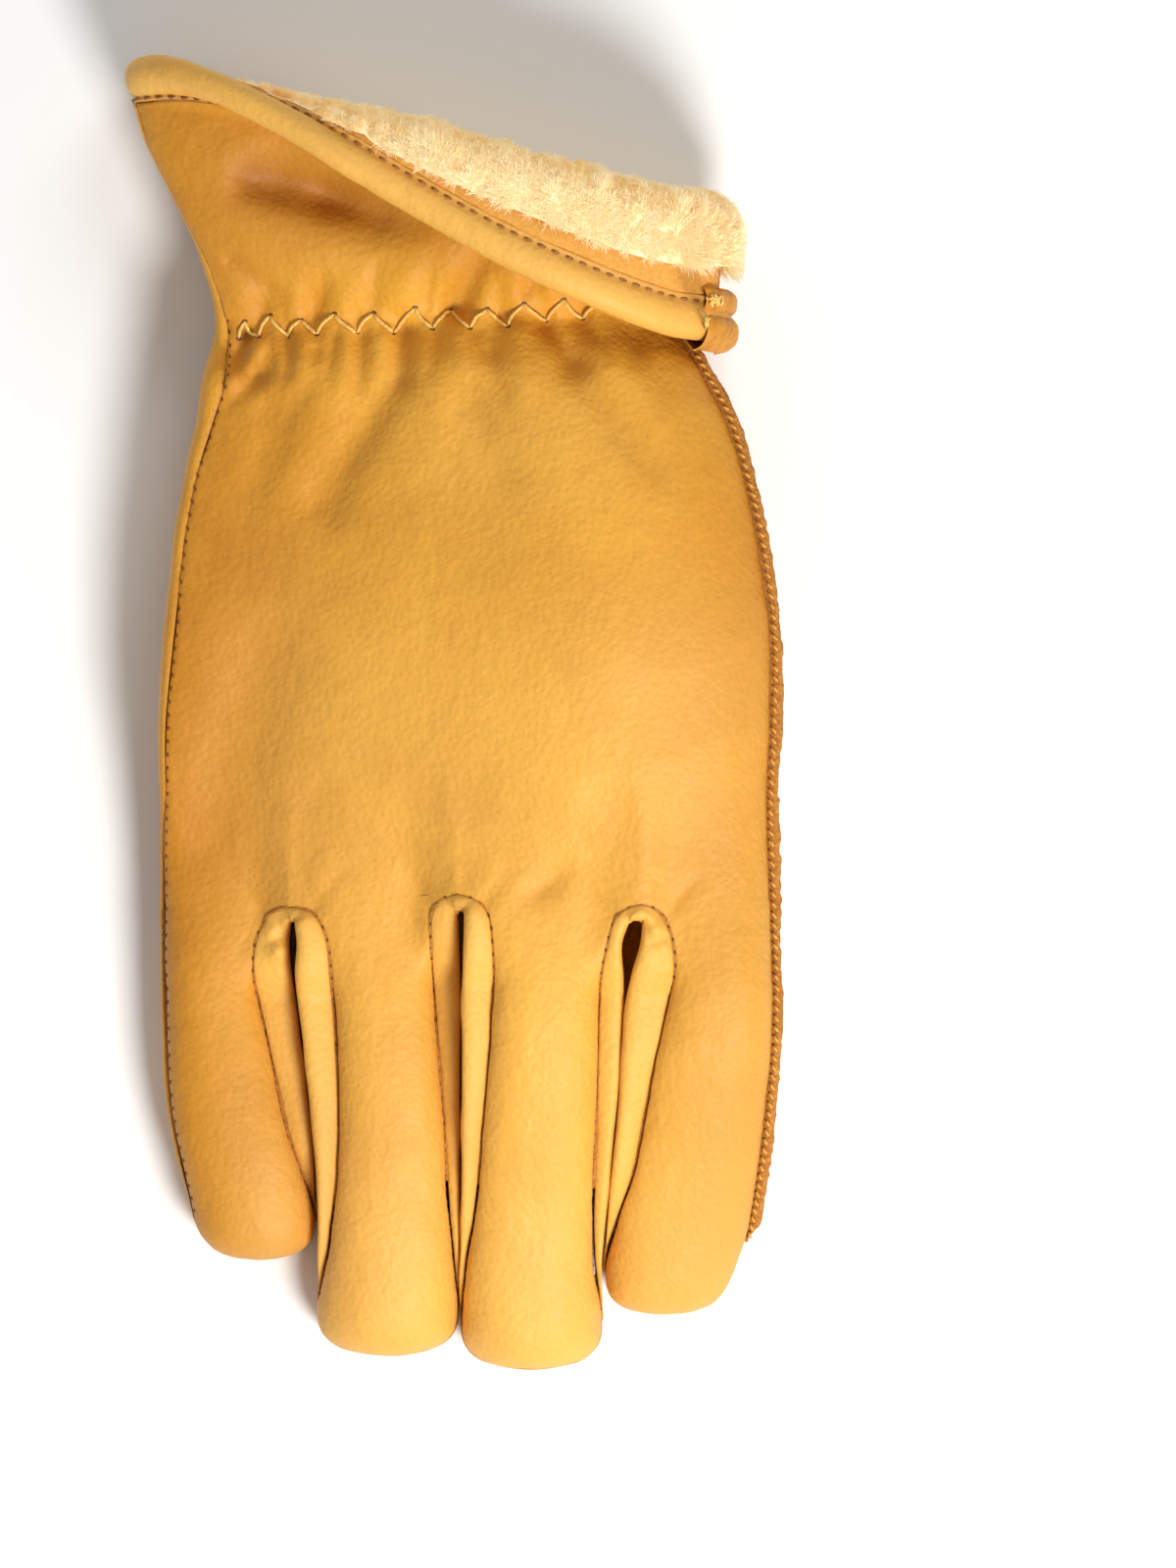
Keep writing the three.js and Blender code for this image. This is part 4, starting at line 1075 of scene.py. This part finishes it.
def back_panel(back):
    points, faces, maps = welded([(grid, False) for grid in back])
    points = relief(points, point_normals(points, faces))
    points, far = rolled_edges(points, faces, 1.5, 0.30)
    piece = make_mesh("back_leather", points, faces, back_tones(points, far))
    thicken(piece, SHEET_THICK, far)
    finish_piece(piece, leather, "leather", "back_panel")
    return [points[order] for order in maps], points, faces


def palm_relief(points, faces):
    """Soft unevenness of the palm leather, none where it rests."""
    x, y, z = points.T
    soft = 0.30 * noise(x, y, 15, 11) + 0.15 * noise(x, y, 6, 13)
    return points + point_normals(points, faces) * (soft * smooth(z / 2.5))[:, None]


def leather_piece(name, grids, *nodes):
    points, faces, _ = welded(grids)
    points, far = rolled_edges(palm_relief(points, faces), faces, 1.2, 0.2)
    # Painted shade along the seams; fourchette walls are paler by a painted highlight.
    near = np.exp(-((far / 0.5) ** 2)) * smooth((86 - points[:, 1]) / 8)
    points[:, 2] = np.maximum(points[:, 2], 0)
    strip = name.startswith("fourchette")
    tones = {"crease_shade": near * (0.4 if strip else 0.7), "painted_highlight": np.full(len(points), 0.4 * strip)}
    piece = make_mesh(name, points, faces, tones)
    thicken(piece, SHEET_THICK, far)
    finish_piece(piece, leather, "leather", *nodes)
    return points, faces


def palm_pieces(back, palm):
    """The two middle finger fronts, and the rest of the palm side in one piece."""
    for index, name in ((1, "finger_front_ring"), (2, "finger_front_middle")):
        leather_piece(name + "_leather", [(palm[index][TUBE_ROWS:], True)], name)
    grids = [(palm[0], True)]
    grids += [(palm[index][:TUBE_ROWS + 1], True) for index in (1, 2)]
    grids.append((palm[3], True))
    for side, index in ((0, 0), (1, 3)):
        wall = np.concatenate([hand_side(side), finger_wall(index, side, back, palm)])
        grids.append((wall, side == 0))
    return leather_piece("palm_leather", grids, "palm_panel")


def crumple(grid):
    """Rise of the folded strip ends in the slits, only near the top of the wall."""
    x, y, z = np.moveaxis(grid, -1, 0)
    high = np.zeros(x.shape)
    for at_x, at_y, wide, tall in STRIP_LUMPS:
        high += tall * np.exp(-((x - at_x) ** 2 + (y - at_y) ** 2) / wide ** 2)
    near_top = smooth((z - z[:, :1] + 9) / 7)
    return high * near_top


def fourchettes(back, palm):
    names = ["fourchette_little_ring", "fourchette_ring_middle", "fourchette_middle_index"]
    for number, name in enumerate(names):
        before = slit_wall(number, 1, back, palm)
        after = slit_wall(number + 1, 0, back, palm)
        after[0] = before[0]
        walls = [(wall + crumple(wall)[..., None] * UP, flip)
                 for wall, flip in ((before, False), (after, True))]
        leather_piece(name + "_leather", walls, name)


def thumb_piece():
    rows = np.concatenate([np.linspace(47, -54, 110), np.linspace(-54.6, -67, 26)])
    angle = np.linspace(0, 2 * np.pi, 65)
    ring = []
    for wave, column, size in ((np.cos(angle), "x", "wide"), (np.sin(angle), "z", "high")):
        squarer = np.sign(wave) * np.abs(wave) ** 0.85
        half = read(THUMB, "y", rows, size)[:, None] / 2
        ring.append(read(THUMB, "y", rows, column)[:, None] + half * squarer)
    grid = stack(ring[0], rows[:, None], np.maximum(ring[1], 0))
    points, faces, _ = welded([(grid, True)])
    points = palm_relief(points, faces)
    points[:, 2] = np.maximum(points[:, 2], 0)
    far = distance_to(points, grid[-1], 4)
    # Painted shade near the closed tip.
    piece = make_mesh("thumb_leather", points, faces, {"crease_shade": np.exp(-(far / 1.2) ** 2) * 0.6})
    thicken(piece, SHEET_THICK)
    finish_piece(piece, leather, "leather", "thumb")


# Section of one layer of the raw edge, from the seam round its outer end.
LAYER_PROFILE = [
    # out, down, share of the layer's width
    (-1.6, 0.15, 0), (0.2, 0.05, 0), (0.7, 0.8, 0), (-0.6, 1.0, 1),
    (-0.1, 0.9, 1), (0, 0.55, 1), (-0.15, 0.2, 1), (-0.6, 0.03, 1),
]


def seam_flange(back):
    """Raw edges of the two panels outside the index-side seam, wavy and roughly cut."""
    rows = slice(CUFF_ROWS + 3, TUBE_ROWS + STRIP_ROWS - 6)
    line = resampled(back[3][rows, -1], 0.5)
    along = unit(np.gradient(line, axis=0))
    out = unit(-np.cross(along, UP))
    down = unit(np.cross(out, along))
    place = np.arange(len(line)) * 0.5
    ends = smooth(place / 6) * smooth((place[-1] - place) / 5)
    sway = 0.5 * noise(place, 0, 14, 55)
    ring = []
    for width, seed, way in ((1.9, 51, 1), (2.2, 53, -1)):
        width = width + 0.25 * noise(place, 0, 1.3, seed) + 0.45 * noise(place, 0, 11, seed + 1)
        width = mix(0.4, width, ends)
        for far, low, share in LAYER_PROFILE[::way]:
            outward = np.maximum(far + share * width, -1.6)
            lowered = low * way + sway * np.clip(outward / 3, 0, 1)
            ring.append(line + out * outward[:, None] + down * lowered[:, None])
    points, faces, _ = welded([(np.stack(ring + ring[:1], axis=1), False)])
    rough = noise(points[:, 1], points[:, 0] + points[:, 2], 0.5, 57) * 0.08
    points += point_normals(points, faces) * rough[:, None]
    finish_piece(make_mesh("seam_raw_edges", points, faces), raw, "raw_edge", "outseam_edge")
    return line, out, down


def seam_allowances(back, palm):
    """Turned-in edges of the leather inside the seams of the fingers."""
    rows = slice(TUBE_ROWS, TUBE_ROWS + STRIP_ROWS + 1)
    made = []
    for index in range(4):
        for face, down in ((back[index], -0.5), (palm[index], 0.5)):
            for end in (0, -1):
                line = resampled(face[rows, end] + UP * down, 0.8)
                starts = range(0, (len(line) - 1) // 40 * 40, 40)
                made += [thread(line[start:start + 41], 0.5) for start in starts]
    bulk_mesh("seam_allowances", made, raw, "raw_edge")


def rim_ring(back_count, side_count, palm_count, far_of):
    """Points and directions round the cuff, back first, at a length that far_of gives."""
    parts = [("back", index, back_count, 1) for index in range(4)]
    parts.append(("right", 3, side_count, 1))
    parts += [("palm", index, palm_count, -1) for index in (3, 2, 1, 0)]
    parts.append(("left", 0, side_count, -1))
    rings = []
    for face, index, count, way in parts:
        u = np.linspace(0, 1, count + 1)[::way][:-1]
        across = {"left": u * 0, "right": u * 0 + 1}.get(face, (index + u) / 4)
        rings.append(cuff_point(face, index, u, far_of(across)))
    return [np.concatenate([ring[part] for ring in rings]) for part in range(3)]


def whole_run(across):
    _, wall, roll, flat = cuff_run(across)
    return wall + roll + flat


# Section of the rolled hem, and its two rows with stitch grooves.
HEM_GROOVES = [3, 21]
HEM_PROFILE = [
    # run, deep
    (0.0, 1.4), (0.25, 0.55), (0.6, 0.25), (1.0, 0.55), (1.3, 0.65), (1.7, 0.35), (2.4, 0.0),
    (3.6, -0.25), (5.0, -0.35), (6.4, -0.1), (7.4, 0.5), (8.2, 1.5), (8.6, 2.7), (8.4, 3.9),
    (7.7, 4.9), (6.7, 5.5), (5.4, 5.85), (4.0, 5.85), (2.8, 5.5), (2.0, 5.0), (1.5, 4.6),
    (1.1, 4.55), (0.7, 4.8), (0.2, 4.9), (-0.1, 4.6), (-0.1, 3.8),
]


def hem_piece():
    point, runs, inward = rim_ring(48, 16, 30, whole_run)
    grid = np.stack([point + runs * run + inward * deep for run, deep in HEM_PROFILE], axis=1)
    lump = 0.12 * noise(np.arange(len(point)) * 1.2, 0, 5, 21)
    grid += inward[:, None] * lump[:, None, None]
    grid = np.concatenate([grid, grid[:1]])
    grid = np.concatenate([grid, grid[:, :1]], axis=1)
    grid[..., 2] = np.maximum(grid[..., 2], 0)
    points, faces, _ = welded([(grid, False)])
    far = distance_to(points, grid[:, HEM_GROOVES].reshape(-1, 3), 3)
    # Painted shade in the stitch grooves, and a painted highlight that makes the whole hem paler.
    tones = {"crease_shade": np.exp(-(far / 0.7) ** 2) * 0.8, "painted_highlight": np.full(len(points), 0.45)}
    finish_piece(make_mesh("hem_leather", points, faces, tones), leather, "leather", "cuff_hem")
    return point, runs, inward


def ribbons(roots, directions, widths, lengths, sides, shades):
    """Joined mesh of tapered fibres, each one quad, and the shade along them, a painted shade
    darker at the roots.
    """
    count = len(roots)
    tip = roots + directions * lengths[:, None]
    half = sides * (widths / 2)[:, None]
    points = np.stack([roots - half, roots + half, tip + half * 0.35, tip - half * 0.35], 1)
    quads = np.arange(count)[:, None] * 4 + np.array([[0, 1, 2, 3]])
    # Painted shade: darker at the fibre roots.
    shade = np.repeat(shades, 4) * np.tile([0.7, 0.7, 1.0, 1.0], count)
    return points.reshape(-1, 3), quads, shade


def scatter(grid, normals, weights, count, rng):
    """Random places on a grid, with their normals, more where the weights are higher."""
    a = grid[:-1, :-1]
    b = grid[1:, :-1]
    c = grid[:-1, 1:]
    d = grid[1:, 1:]
    area = np.linalg.norm(np.cross(b - a, c - a), axis=-1) * weights[:-1, :-1]
    chance = (area / area.sum()).reshape(-1)
    pick = rng.choice(len(chance), count, p=chance)
    row, column = np.unravel_index(pick, area.shape)
    s = rng.random(count)[:, None]
    t = rng.random(count)[:, None]
    place = mix(mix(a[row, column], b[row, column], s), mix(c[row, column], d[row, column], s), t)
    normal = unit(mix(normals[row, column], normals[row + 1, column + 1], s))
    return place, normal


def lining_surface(rows, back_count, side_count, palm_count):
    """Points and inward directions of the lining, from inside the cuff to the bare strip."""
    places = []
    inwards = []
    for share in np.linspace(0, 1, rows):
        def far_of(across, share=share):
            start = cuff_far(across, np.full_like(across, 0.40))
            end = whole_run(across) - read(BARE_STRIP, "across", across, "wide")
            return mix(start, end, share)
        place, _, inward = rim_ring(back_count, side_count, palm_count, far_of)
        places.append(place)
        inwards.append(inward)
    grids = (np.stack(places), np.stack(inwards))
    return [np.concatenate([grid, grid[:, :1]], 1) for grid in grids]


def tufted(place, normal, seeds, rng):
    """Directions, flat sides and shades of fibres that lie over towards tufts: a random tone per
    fibre, with painted shade darker towards a tuft's edge.
    """
    count = len(place)
    tree = near_points(seeds)
    lean = np.array([tree.find(point)[0] for point in place]) - place
    away = np.linalg.norm(lean, axis=1)
    curl = np.stack([noise(place[:, 0], place[:, 1] + place[:, 2], 1.5, seed)
                     for seed in (41, 42, 43)], -1)
    lateral = lean * 0.5 + curl + rng.normal(0, 0.40, place.shape)
    lateral -= normal * np.sum(lateral * normal, axis=1, keepdims=True)
    direction = unit(normal * 0.36 + unit(lateral) * rng.uniform(0.5, 1.0, count)[:, None])
    side = unit(np.cross(direction, normal))
    # Random tone, with painted shade darker away from the tuft's centre.
    shade = np.clip(rng.normal(0.80, 0.13, count) - (away / 2.6) ** 2 * 0.30, 0.05, 1)
    return direction, side, shade


def tucked(points, tree, least, rim):
    """Points moved in where they are less than that far inside the leather, not at its rim."""
    moved = points.copy()
    for number, point in enumerate(points):
        spot, normal, _, away = tree.find_nearest(Vector(point), 6.0)
        if spot is None or rim.find(spot)[2] < 3.0:
            continue
        inside = (spot - Vector(point)).dot(normal)
        if inside < least and away < 5.0:
            moved[number] = spot - normal * least
    return moved


def pile_base(tree, rim):
    """Uneven surface that the fibres stand on, with its directions out of the leather."""
    point, inward = lining_surface(70, 40, 14, 24)
    x, y, z = np.moveaxis(point, -1, 0)
    lumps = 0.6 * noise(x, y + z * 1.3, 2.9, 31) + 0.6 * noise(x, y - z, 6.5, 33)
    base = point + inward * (LINING_TOP + PILE_STANDS + lumps)[..., None]
    base[..., 2] = np.maximum(base[..., 2], 1.0)
    return tucked(base.reshape(-1, 3), tree, 2.6, rim).reshape(base.shape), inward, x


def pile_pieces(tree, rim):
    base, inward, x = pile_base(tree, rim)
    points, faces, _ = welded([(base, True)])
    backing = make_mesh("pile_backing", points, faces, {"shade": np.full(len(points), 0.8)})
    finish_piece(backing, pile, "pile", "cuff_lining")
    rng = np.random.default_rng(7)
    turned_side = smooth((x - 34) / 8) * np.clip(inward[..., 0], 0, 1)
    facing = np.clip(np.maximum(inward[..., 2], turned_side), 0, 1)
    for name, weights, count, tufts in (
        ("pile_turned", smooth(facing * 2.5), 98000, 1100),
        ("pile_mouth", 1.05 - smooth(facing * 2.5), 48000, 700),
    ):
        place, normal = scatter(base, inward, weights, count, rng)
        seeds = place[rng.choice(count, tufts, replace=False)]
        direction, side, shades = tufted(place, normal, seeds, rng)
        lengths = rng.uniform(*FIBRE_LONG, count) * (1 + 0.6 * smooth((place[:, 0] - 42) / 7))
        widths = rng.uniform(*FIBRE_WIDE, count)
        roots = place - normal * 0.2
        points, quads, shade = ribbons(roots, direction, widths, lengths, side, shades)
        points[:, 2] = np.maximum(points[:, 2], 0.1)
        if name == "pile_mouth":
            points = tucked(points, tree, 0.8, rim)
        finish_piece(make_mesh(name, points, quads, {"shade": shade}), pile, "pile")


# Section of the side tab, from the bare strip over the pinch and round the outside of the hem.
TAB_PROFILE = [
    # run, deep
    (-1.9, 4.6), (-1.5, 5.9), (-0.4, 6.7), (1.0, 6.8), (2.3, 6.4), (3.0, 5.6), (3.5, 5.6),
    (4.2, 6.5), (5.6, 7.1), (7.2, 7.0), (8.8, 6.3), (10.0, 5.0), (10.4, 3.3), (9.9, 1.5),
    (8.5, 0.2), (6.5, -0.5), (4.0, -0.8), (2.0, -0.6),
]


def side_tab(point, runs, inward):
    """Folded end of the index-side seam, wrapped over the end of the hem."""
    station = np.linspace(186.4, 201.0, 36)
    whole = np.arange(len(point))
    parts = [np.stack([np.interp(station, whole, part[:, axis]) for axis in range(3)], -1)
             for part in (point, runs, inward)]
    place = np.arange(len(station)) * 0.45
    raised = smooth(place / 0.9) * smooth((place[-1] - place) / 3)
    rings = []
    for number, (run, deep) in enumerate(TAB_PROFILE):
        rough = 0.38 * noise(place, number * 0.6, 1.7, 71)
        rough += 0.22 * noise(place, number * 0.8, 0.9, 72)
        away = deep + ((raised - 1) * 0.9 + rough * raised) * np.sign(deep - 2)
        rings.append(parts[0] + parts[1] * run + parts[2] * away[:, None])
    grid = resampled_grid(np.stack(rings, axis=1), 3)
    points, faces, _ = welded([(grid, True)])
    folded = noise(points[:, 0] * 1.4, points[:, 1] * 0.8 + points[:, 2], 1.1, 73)
    points = points + point_normals(points, faces) * (folded * 0.14)[:, None]
    # Painted shade in the tab's folds; the whole tab is darker by the deep tone.
    tones = {"crease_shade": np.clip(-folded, 0, 1) * 0.9, "deep": np.full(len(points), 0.7)}
    finish_piece(make_mesh("side_tab", points, faces, tones), leather, "leather")
    bar_tacks(surface(points, faces))


def short_line(middle, turn, half_long):
    """Seven places on a short level line through a middle point."""
    step = np.zeros(len(middle))
    step[:2] = np.array([np.cos(turn), np.sin(turn)]) * half_long
    return mix(middle - step, middle + step, np.linspace(0, 1, 7)[:, None])


def bar_tacks(tree):
    """Short threads across the side tab, in two groups."""
    rng = np.random.default_rng(75)
    threads = []
    for at_x, at_y, count, spread in ((50.4, 80.4, 9, 1.6), (48.6, 75.6, 7, 1.2)):
        for number in range(count):
            middle = np.array([at_x + rng.normal(0, spread * 0.4), at_y + rng.normal(0, 0.5)])
            turn = rng.uniform(-0.6, 0.6) + (np.pi / 2 if number % 3 else 0)
            flat = short_line(middle, turn, rng.uniform(0.7, 1.2))
            spot, up = landed(tree, flat, np.full(7, 60.0), 60)
            high = 0.15 + 0.35 * np.sin(np.linspace(0, np.pi, 7))
            threads.append(thread(spot + up * high[:, None], 0.26))
    bulk_mesh("bar_tacks", threads, pale_thread, "pile")


def bare_strip():
    """Flesh side of the turned leather that shows between the hem and the pile."""
    down = np.linspace(0, 1, 10)
    columns = []
    for place in np.linspace(0.3, 1, 160):
        index = min(int(place * 4), 3)
        wide = read(BARE_STRIP, "across", place, "wide") + 1.2
        far = whole_run(np.full(len(down), place)) + 0.3 - down * wide
        point, _, inward = cuff_point("back", index, np.full(len(down), place * 4 - index), far)
        bulge = 4.4 + 0.25 * np.sin(np.pi * down)
        columns.append(point + inward * bulge[:, None])
    points, faces, _ = welded([(np.stack(columns), False)])
    uneven = 0.12 * noise(points[:, 0], points[:, 1], 3, 61)
    points += point_normals(points, faces) * uneven[:, None]
    piece = make_mesh("bare_strip", points, faces)
    thicken(piece, 0.8)
    finish_piece(piece, flesh, "raw_edge")


def resampled_grid(grid, times):
    """The same sheet with that many times as many rounded columns."""
    columns = grid.shape[1]
    wanted = np.linspace(0, columns - 1, (columns - 1) * times + 1)
    table = {"place": np.arange(columns)}
    rows = []
    for row in grid:
        axes = [read({**table, "value": row[:, axis]}, "place", wanted, "value")
                for axis in range(3)]
        rows.append(np.stack(axes, -1))
    return np.stack(rows)


def circle(angle, east, north):
    """Places round a circle or an oval with these two directions."""
    return np.cos(angle)[..., None] * east + np.sin(angle)[..., None] * north


def thread(path, radius, sides=6):
    """Tube along a path, with tapered ends, as a grid of points."""
    path = np.asarray(path, float)
    along = unit(np.gradient(path, axis=0))
    out = unit(np.cross(along, [0.12, 0.05, 1.0]))
    up = unit(np.cross(out, along))
    taper = np.ones(len(path))
    taper[[0, -1]] = 0.25
    angle = np.linspace(0, 2 * np.pi, sides + 1)[None, :]
    around = circle(angle, out[:, None], up[:, None])
    return path[:, None] + around * (radius * taper)[:, None, None]


def bulk_mesh(name, grids, material, slot):
    """One mesh of many separate small grids of the same shape."""
    stacked = np.stack(grids)
    stacked[..., 2] = np.maximum(stacked[..., 2], 0)
    number, quads = grid_quads(*stacked.shape[1:3])
    starts = np.arange(len(grids)) * number.size
    faces = (starts[:, None, None] + quads[:, [0, 3, 2, 1]]).reshape(-1, 4)
    finish_piece(make_mesh(name, stacked.reshape(-1, 3), faces), material, slot)


def stitches(line, normals, length, space, radius, sink=0.25, skew=0.0):
    """Short threads along a line, each dipping into the leather at both ends."""
    step = 0.1
    dense = resampled(np.concatenate([line, normals], axis=1), step)
    points = dense[:, :3]
    up = unit(dense[:, 3:])
    made = []
    size = int(round(length / step))
    for start in range(0, len(points) - size, int(round(space / step))):
        pick = np.linspace(start, start + size, 6).astype(int)
        bow = np.sin(np.linspace(0, np.pi, 6)) * (radius + sink) - sink
        side = unit(np.cross(up[pick], np.gradient(points[pick], axis=0)))
        lean = np.linspace(-skew, skew, 6)
        made.append(thread(points[pick] + up[pick] * bow[:, None] + side * lean[:, None], radius))
    return made


def surface(points, faces):
    return BVHTree.FromPolygons(points.tolist(), faces.tolist())


def met(tree, place, start, way, reach):
    """Where an upright line meets a surface, with its normal back towards the line's start."""
    spot, normal, _, _ = tree.ray_cast(Vector((*place, start)), Vector((0, 0, way)), reach)
    if spot is None:
        return None
    return spot, normal if normal.z * way < 0 else -normal


def landed(tree, places, start_high, drop=40.0):
    """Where lines straight down from above these places meet a surface, with its normals.

    A line that meets nothing ends a little below its start.
    """
    found = [met(tree, place, high, -1, drop) or (Vector((*place, high - 3)), Vector(UP))
             for place, high in zip(places, start_high)]
    return [np.array(part) for part in zip(*found)]


def zigzag_stitch(tree):
    """Thread of the zigzag seam over the elastic."""
    corners = np.array(ZIGZAG)
    share = np.linspace(0, 1, 9)[:, None]
    bow = np.sin(np.pi * share)
    dip = 0.35 * (np.abs(share[:, 0] - 0.5) > 0.45)
    legs = []
    for a, b in zip(corners[:-1], corners[1:]):
        across = np.array([a[1] - b[1], b[0] - a[0]]) / np.linalg.norm(b - a)
        flat = mix(a, b, share) + across * bow * 0.35 * np.sign(b[1] - a[1])
        top, _ = hand_heights(flat[:, 0], flat[:, 1])
        spot, up = landed(tree, flat, top + 2.2)
        lift = 0.20 + 0.30 * bow[:, 0] - dip
        legs.append(thread(spot + up * lift[:, None], 0.34, 7))
    bulk_mesh("elastic_zigzag", legs, pale_thread, "pile")


def needle_hole_shades(tree):
    """Dark discs at the corners of the zigzag seam, painted shade of the needle holes."""
    corners = np.array(ZIGZAG)
    top, _ = hand_heights(corners[:, 0], corners[:, 1])
    angle = np.linspace(0, 2 * np.pi, 11)
    holes = []
    for spot, up in zip(*landed(tree, corners, top + 2.2)):
        east = unit(np.cross(up, [0, 1, 0.1]))
        ring = circle(angle, east * 0.62, np.cross(up, east) * 0.46)
        holes.append(np.stack([spot + up * high + ring * size
                               for high, size in ((0.02, 1), (0.07, 0.75), (0.05, 0.03))]))
    bulk_mesh("needle_hole_shades", holes, dark_stitch_and_hole_shade, "raw_edge")


def hem_stitches(point, runs, inward):
    """Stitch rows round the outside and the inside of the hem."""
    place, along, into = [np.concatenate([part, part[:1]]) for part in (point, runs, inward)]
    outer = stitches(place + along * 0.95 + into * 0.45, -into, 2.0, 2.9, 0.24)
    inner = stitches(place + along * 1.1 + into * 4.62, into, 2.0, 2.9, 0.24)
    bulk_mesh("hem_stitches", outer + inner, dark_thread, "raw_edge")


def seam_stitches(back, seam_line):
    """Needle stitches just inside the seams of the back, and along the raw edges."""
    rows = slice(TUBE_ROWS + 2, TUBE_ROWS + STRIP_ROWS)
    lines = [back[0][CUFF_ROWS:TUBE_ROWS + STRIP_ROWS, 2]]
    for index in range(4):
        if index > 0:
            lines.append(mix(back[index][rows, 0], back[index][rows, 1], 0.4))
        if index < 3:
            lines.append(mix(back[index][rows, -1], back[index][rows, -2], 0.4))
    made = []
    for line in lines:
        made += stitches(line, np.tile(UP, (len(line), 1)), 0.8, 2.6, 0.19, 0.12)
    bulk_mesh("seam_stitches", made, dark_stitch_and_hole_shade, "raw_edge")
    line, out, down = seam_line
    beads = stitches(line + out * 0.8 - down * 0.85, -down, 1.3, 2.0, 0.27, 0.2, 0.45)
    bulk_mesh("flange_stitches", beads, edge_thread, "pile")


def landed_under(tree, places):
    """The same straight up from below, without the places where nothing is met."""
    found = [met(tree, place, -5, 1, 60) for place in places]
    return [np.array(part) for part in zip(*filter(None, found))]


# Length, spacing, radius and dip of the stitches on the palm side.
PALM_STITCH = (1.7, 2.5, 0.22, 0.15)


def palm_stitches(palm, tree):
    """Two rows round the thumb's root, and two rows at the roots of the finger fronts."""
    made = []
    for grow in (0.0, 2.3):
        turn = np.linspace(-0.12 * np.pi, 1.12 * np.pi, 90)
        arch_line = [35, 29] + circle(turn, np.array([18.5 + grow, 0]), np.array([0, 22 + grow]))
        leg = mix(arch_line[-1], np.array([24.0, -2.0]), np.linspace(0.05, 1, 24)[:, None])
        made += stitches(*landed_under(tree, np.concatenate([arch_line, leg])), *PALM_STITCH)
    for index in (1, 2):
        line = palm[index][TUBE_ROWS, 1:-1]
        made += stitches(*landed_under(tree, line[:, :2] + [0, 1.4]), *PALM_STITCH)
        front = palm[index][TUBE_ROWS + 3, 1:-1] - UP * 0.25
        made += stitches(front, np.tile(-UP, (len(front), 1)), *PALM_STITCH)
    bulk_mesh("palm_stitches", made, dark_thread, "raw_edge")


def crotch_knots(palm):
    """Knots of thread where the finger fronts meet at the palm."""
    rng = np.random.default_rng(91)
    knots = []
    for index in (0, 1, 2):
        centre = palm[index][TUBE_ROWS, -1]
        for _ in range(7):
            middle = centre + rng.normal(0, 0.5, 3) * [1, 1, 0.2] + [0, 0.6, -0.3]
            path = short_line(middle, rng.uniform(0, np.pi), rng.uniform(0.7, 1.3))
            path[:, 2] -= 0.5 * np.sin(np.linspace(0, np.pi, 7))
            knots.append(thread(path, 0.24))
    bulk_mesh("crotch_knots", knots, pale_thread, "pile")


def setup_camera():
    """Long lens from straight above, with the height of the picture on the floor."""
    camera = linked("camera", bpy.data.cameras.new("camera"))
    camera.data.lens = 300
    camera.data.sensor_width = 36
    camera.data.clip_end = 20
    camera.location = (0.026, -0.013, 0.028 + FRAME_HIGH * 300 / 36)
    bpy.context.scene.camera = camera


def area_light(name, place, aim, size, power):
    light = bpy.data.lights.new(name, "AREA")
    light.shape = "DISK"
    light.size = size
    light.energy = power
    lamp = linked(name, light)
    lamp.location = place
    lamp.rotation_euler = (Vector(aim) - Vector(place)).to_track_quat("-Z", "Y").to_euler()


# Lamps, in metres from the glove's own zero, and in watts.
LAMPS = [
    # name, place, aim, size, power
    ("key", (0.30, -0.54, 0.75), (0, -0.03, 0.02), 0.30, 9.1),
    ("fill", (-0.8, 0.5, 0.9), (0, 0, 0.02), 0.8, 0.6),
    ("back", (0.4, 0.8, 0.9), (0, 0, 0.02), 0.6, 3),
]


def setup_stage():
    bpy.ops.mesh.primitive_plane_add(size=6)
    floor = bpy.context.object
    floor.name = "floor"
    floor.data.materials.append(floor_material())
    world = bpy.context.scene.world or bpy.data.worlds.new("world")
    bpy.context.scene.world = world
    world.use_nodes = True
    background = world.node_tree.nodes["Background"]
    background.inputs["Color"].default_value = (1, 1, 1, 1)
    background.inputs["Strength"].default_value = 0.34
    for lamp in LAMPS:
        area_light(*lamp)
    bpy.context.scene.view_settings.view_transform = "Standard"


setup_camera()
setup_stage()
back_grids = face_columns("back", BACK_ACROSS)
palm_grids = closed_tips(face_columns("palm", PALM_ACROSS), back_grids)
back_made, back_points, back_faces = back_panel(back_grids)
palm_points, palm_faces = palm_pieces(back_grids, palm_grids)
fourchettes(back_grids, palm_grids)
seam_allowances(back_grids, palm_grids)
thumb_piece()
flange_line = seam_flange(back_grids)
rim = hem_piece()
back_tree = surface(back_points, back_faces)
palm_tree = surface(palm_points, palm_faces)
leather_tree = surface(np.concatenate([back_points, palm_points]),
                       np.concatenate([back_faces, palm_faces + len(back_points)]))
pile_pieces(leather_tree, near_points(rim[0]))
bare_strip()
side_tab(*rim)
zigzag_stitch(back_tree)
needle_hole_shades(back_tree)
hem_stitches(*rim)
seam_stitches(back_made, flange_line)
palm_stitches(palm_grids, palm_tree)
crotch_knots(palm_grids)
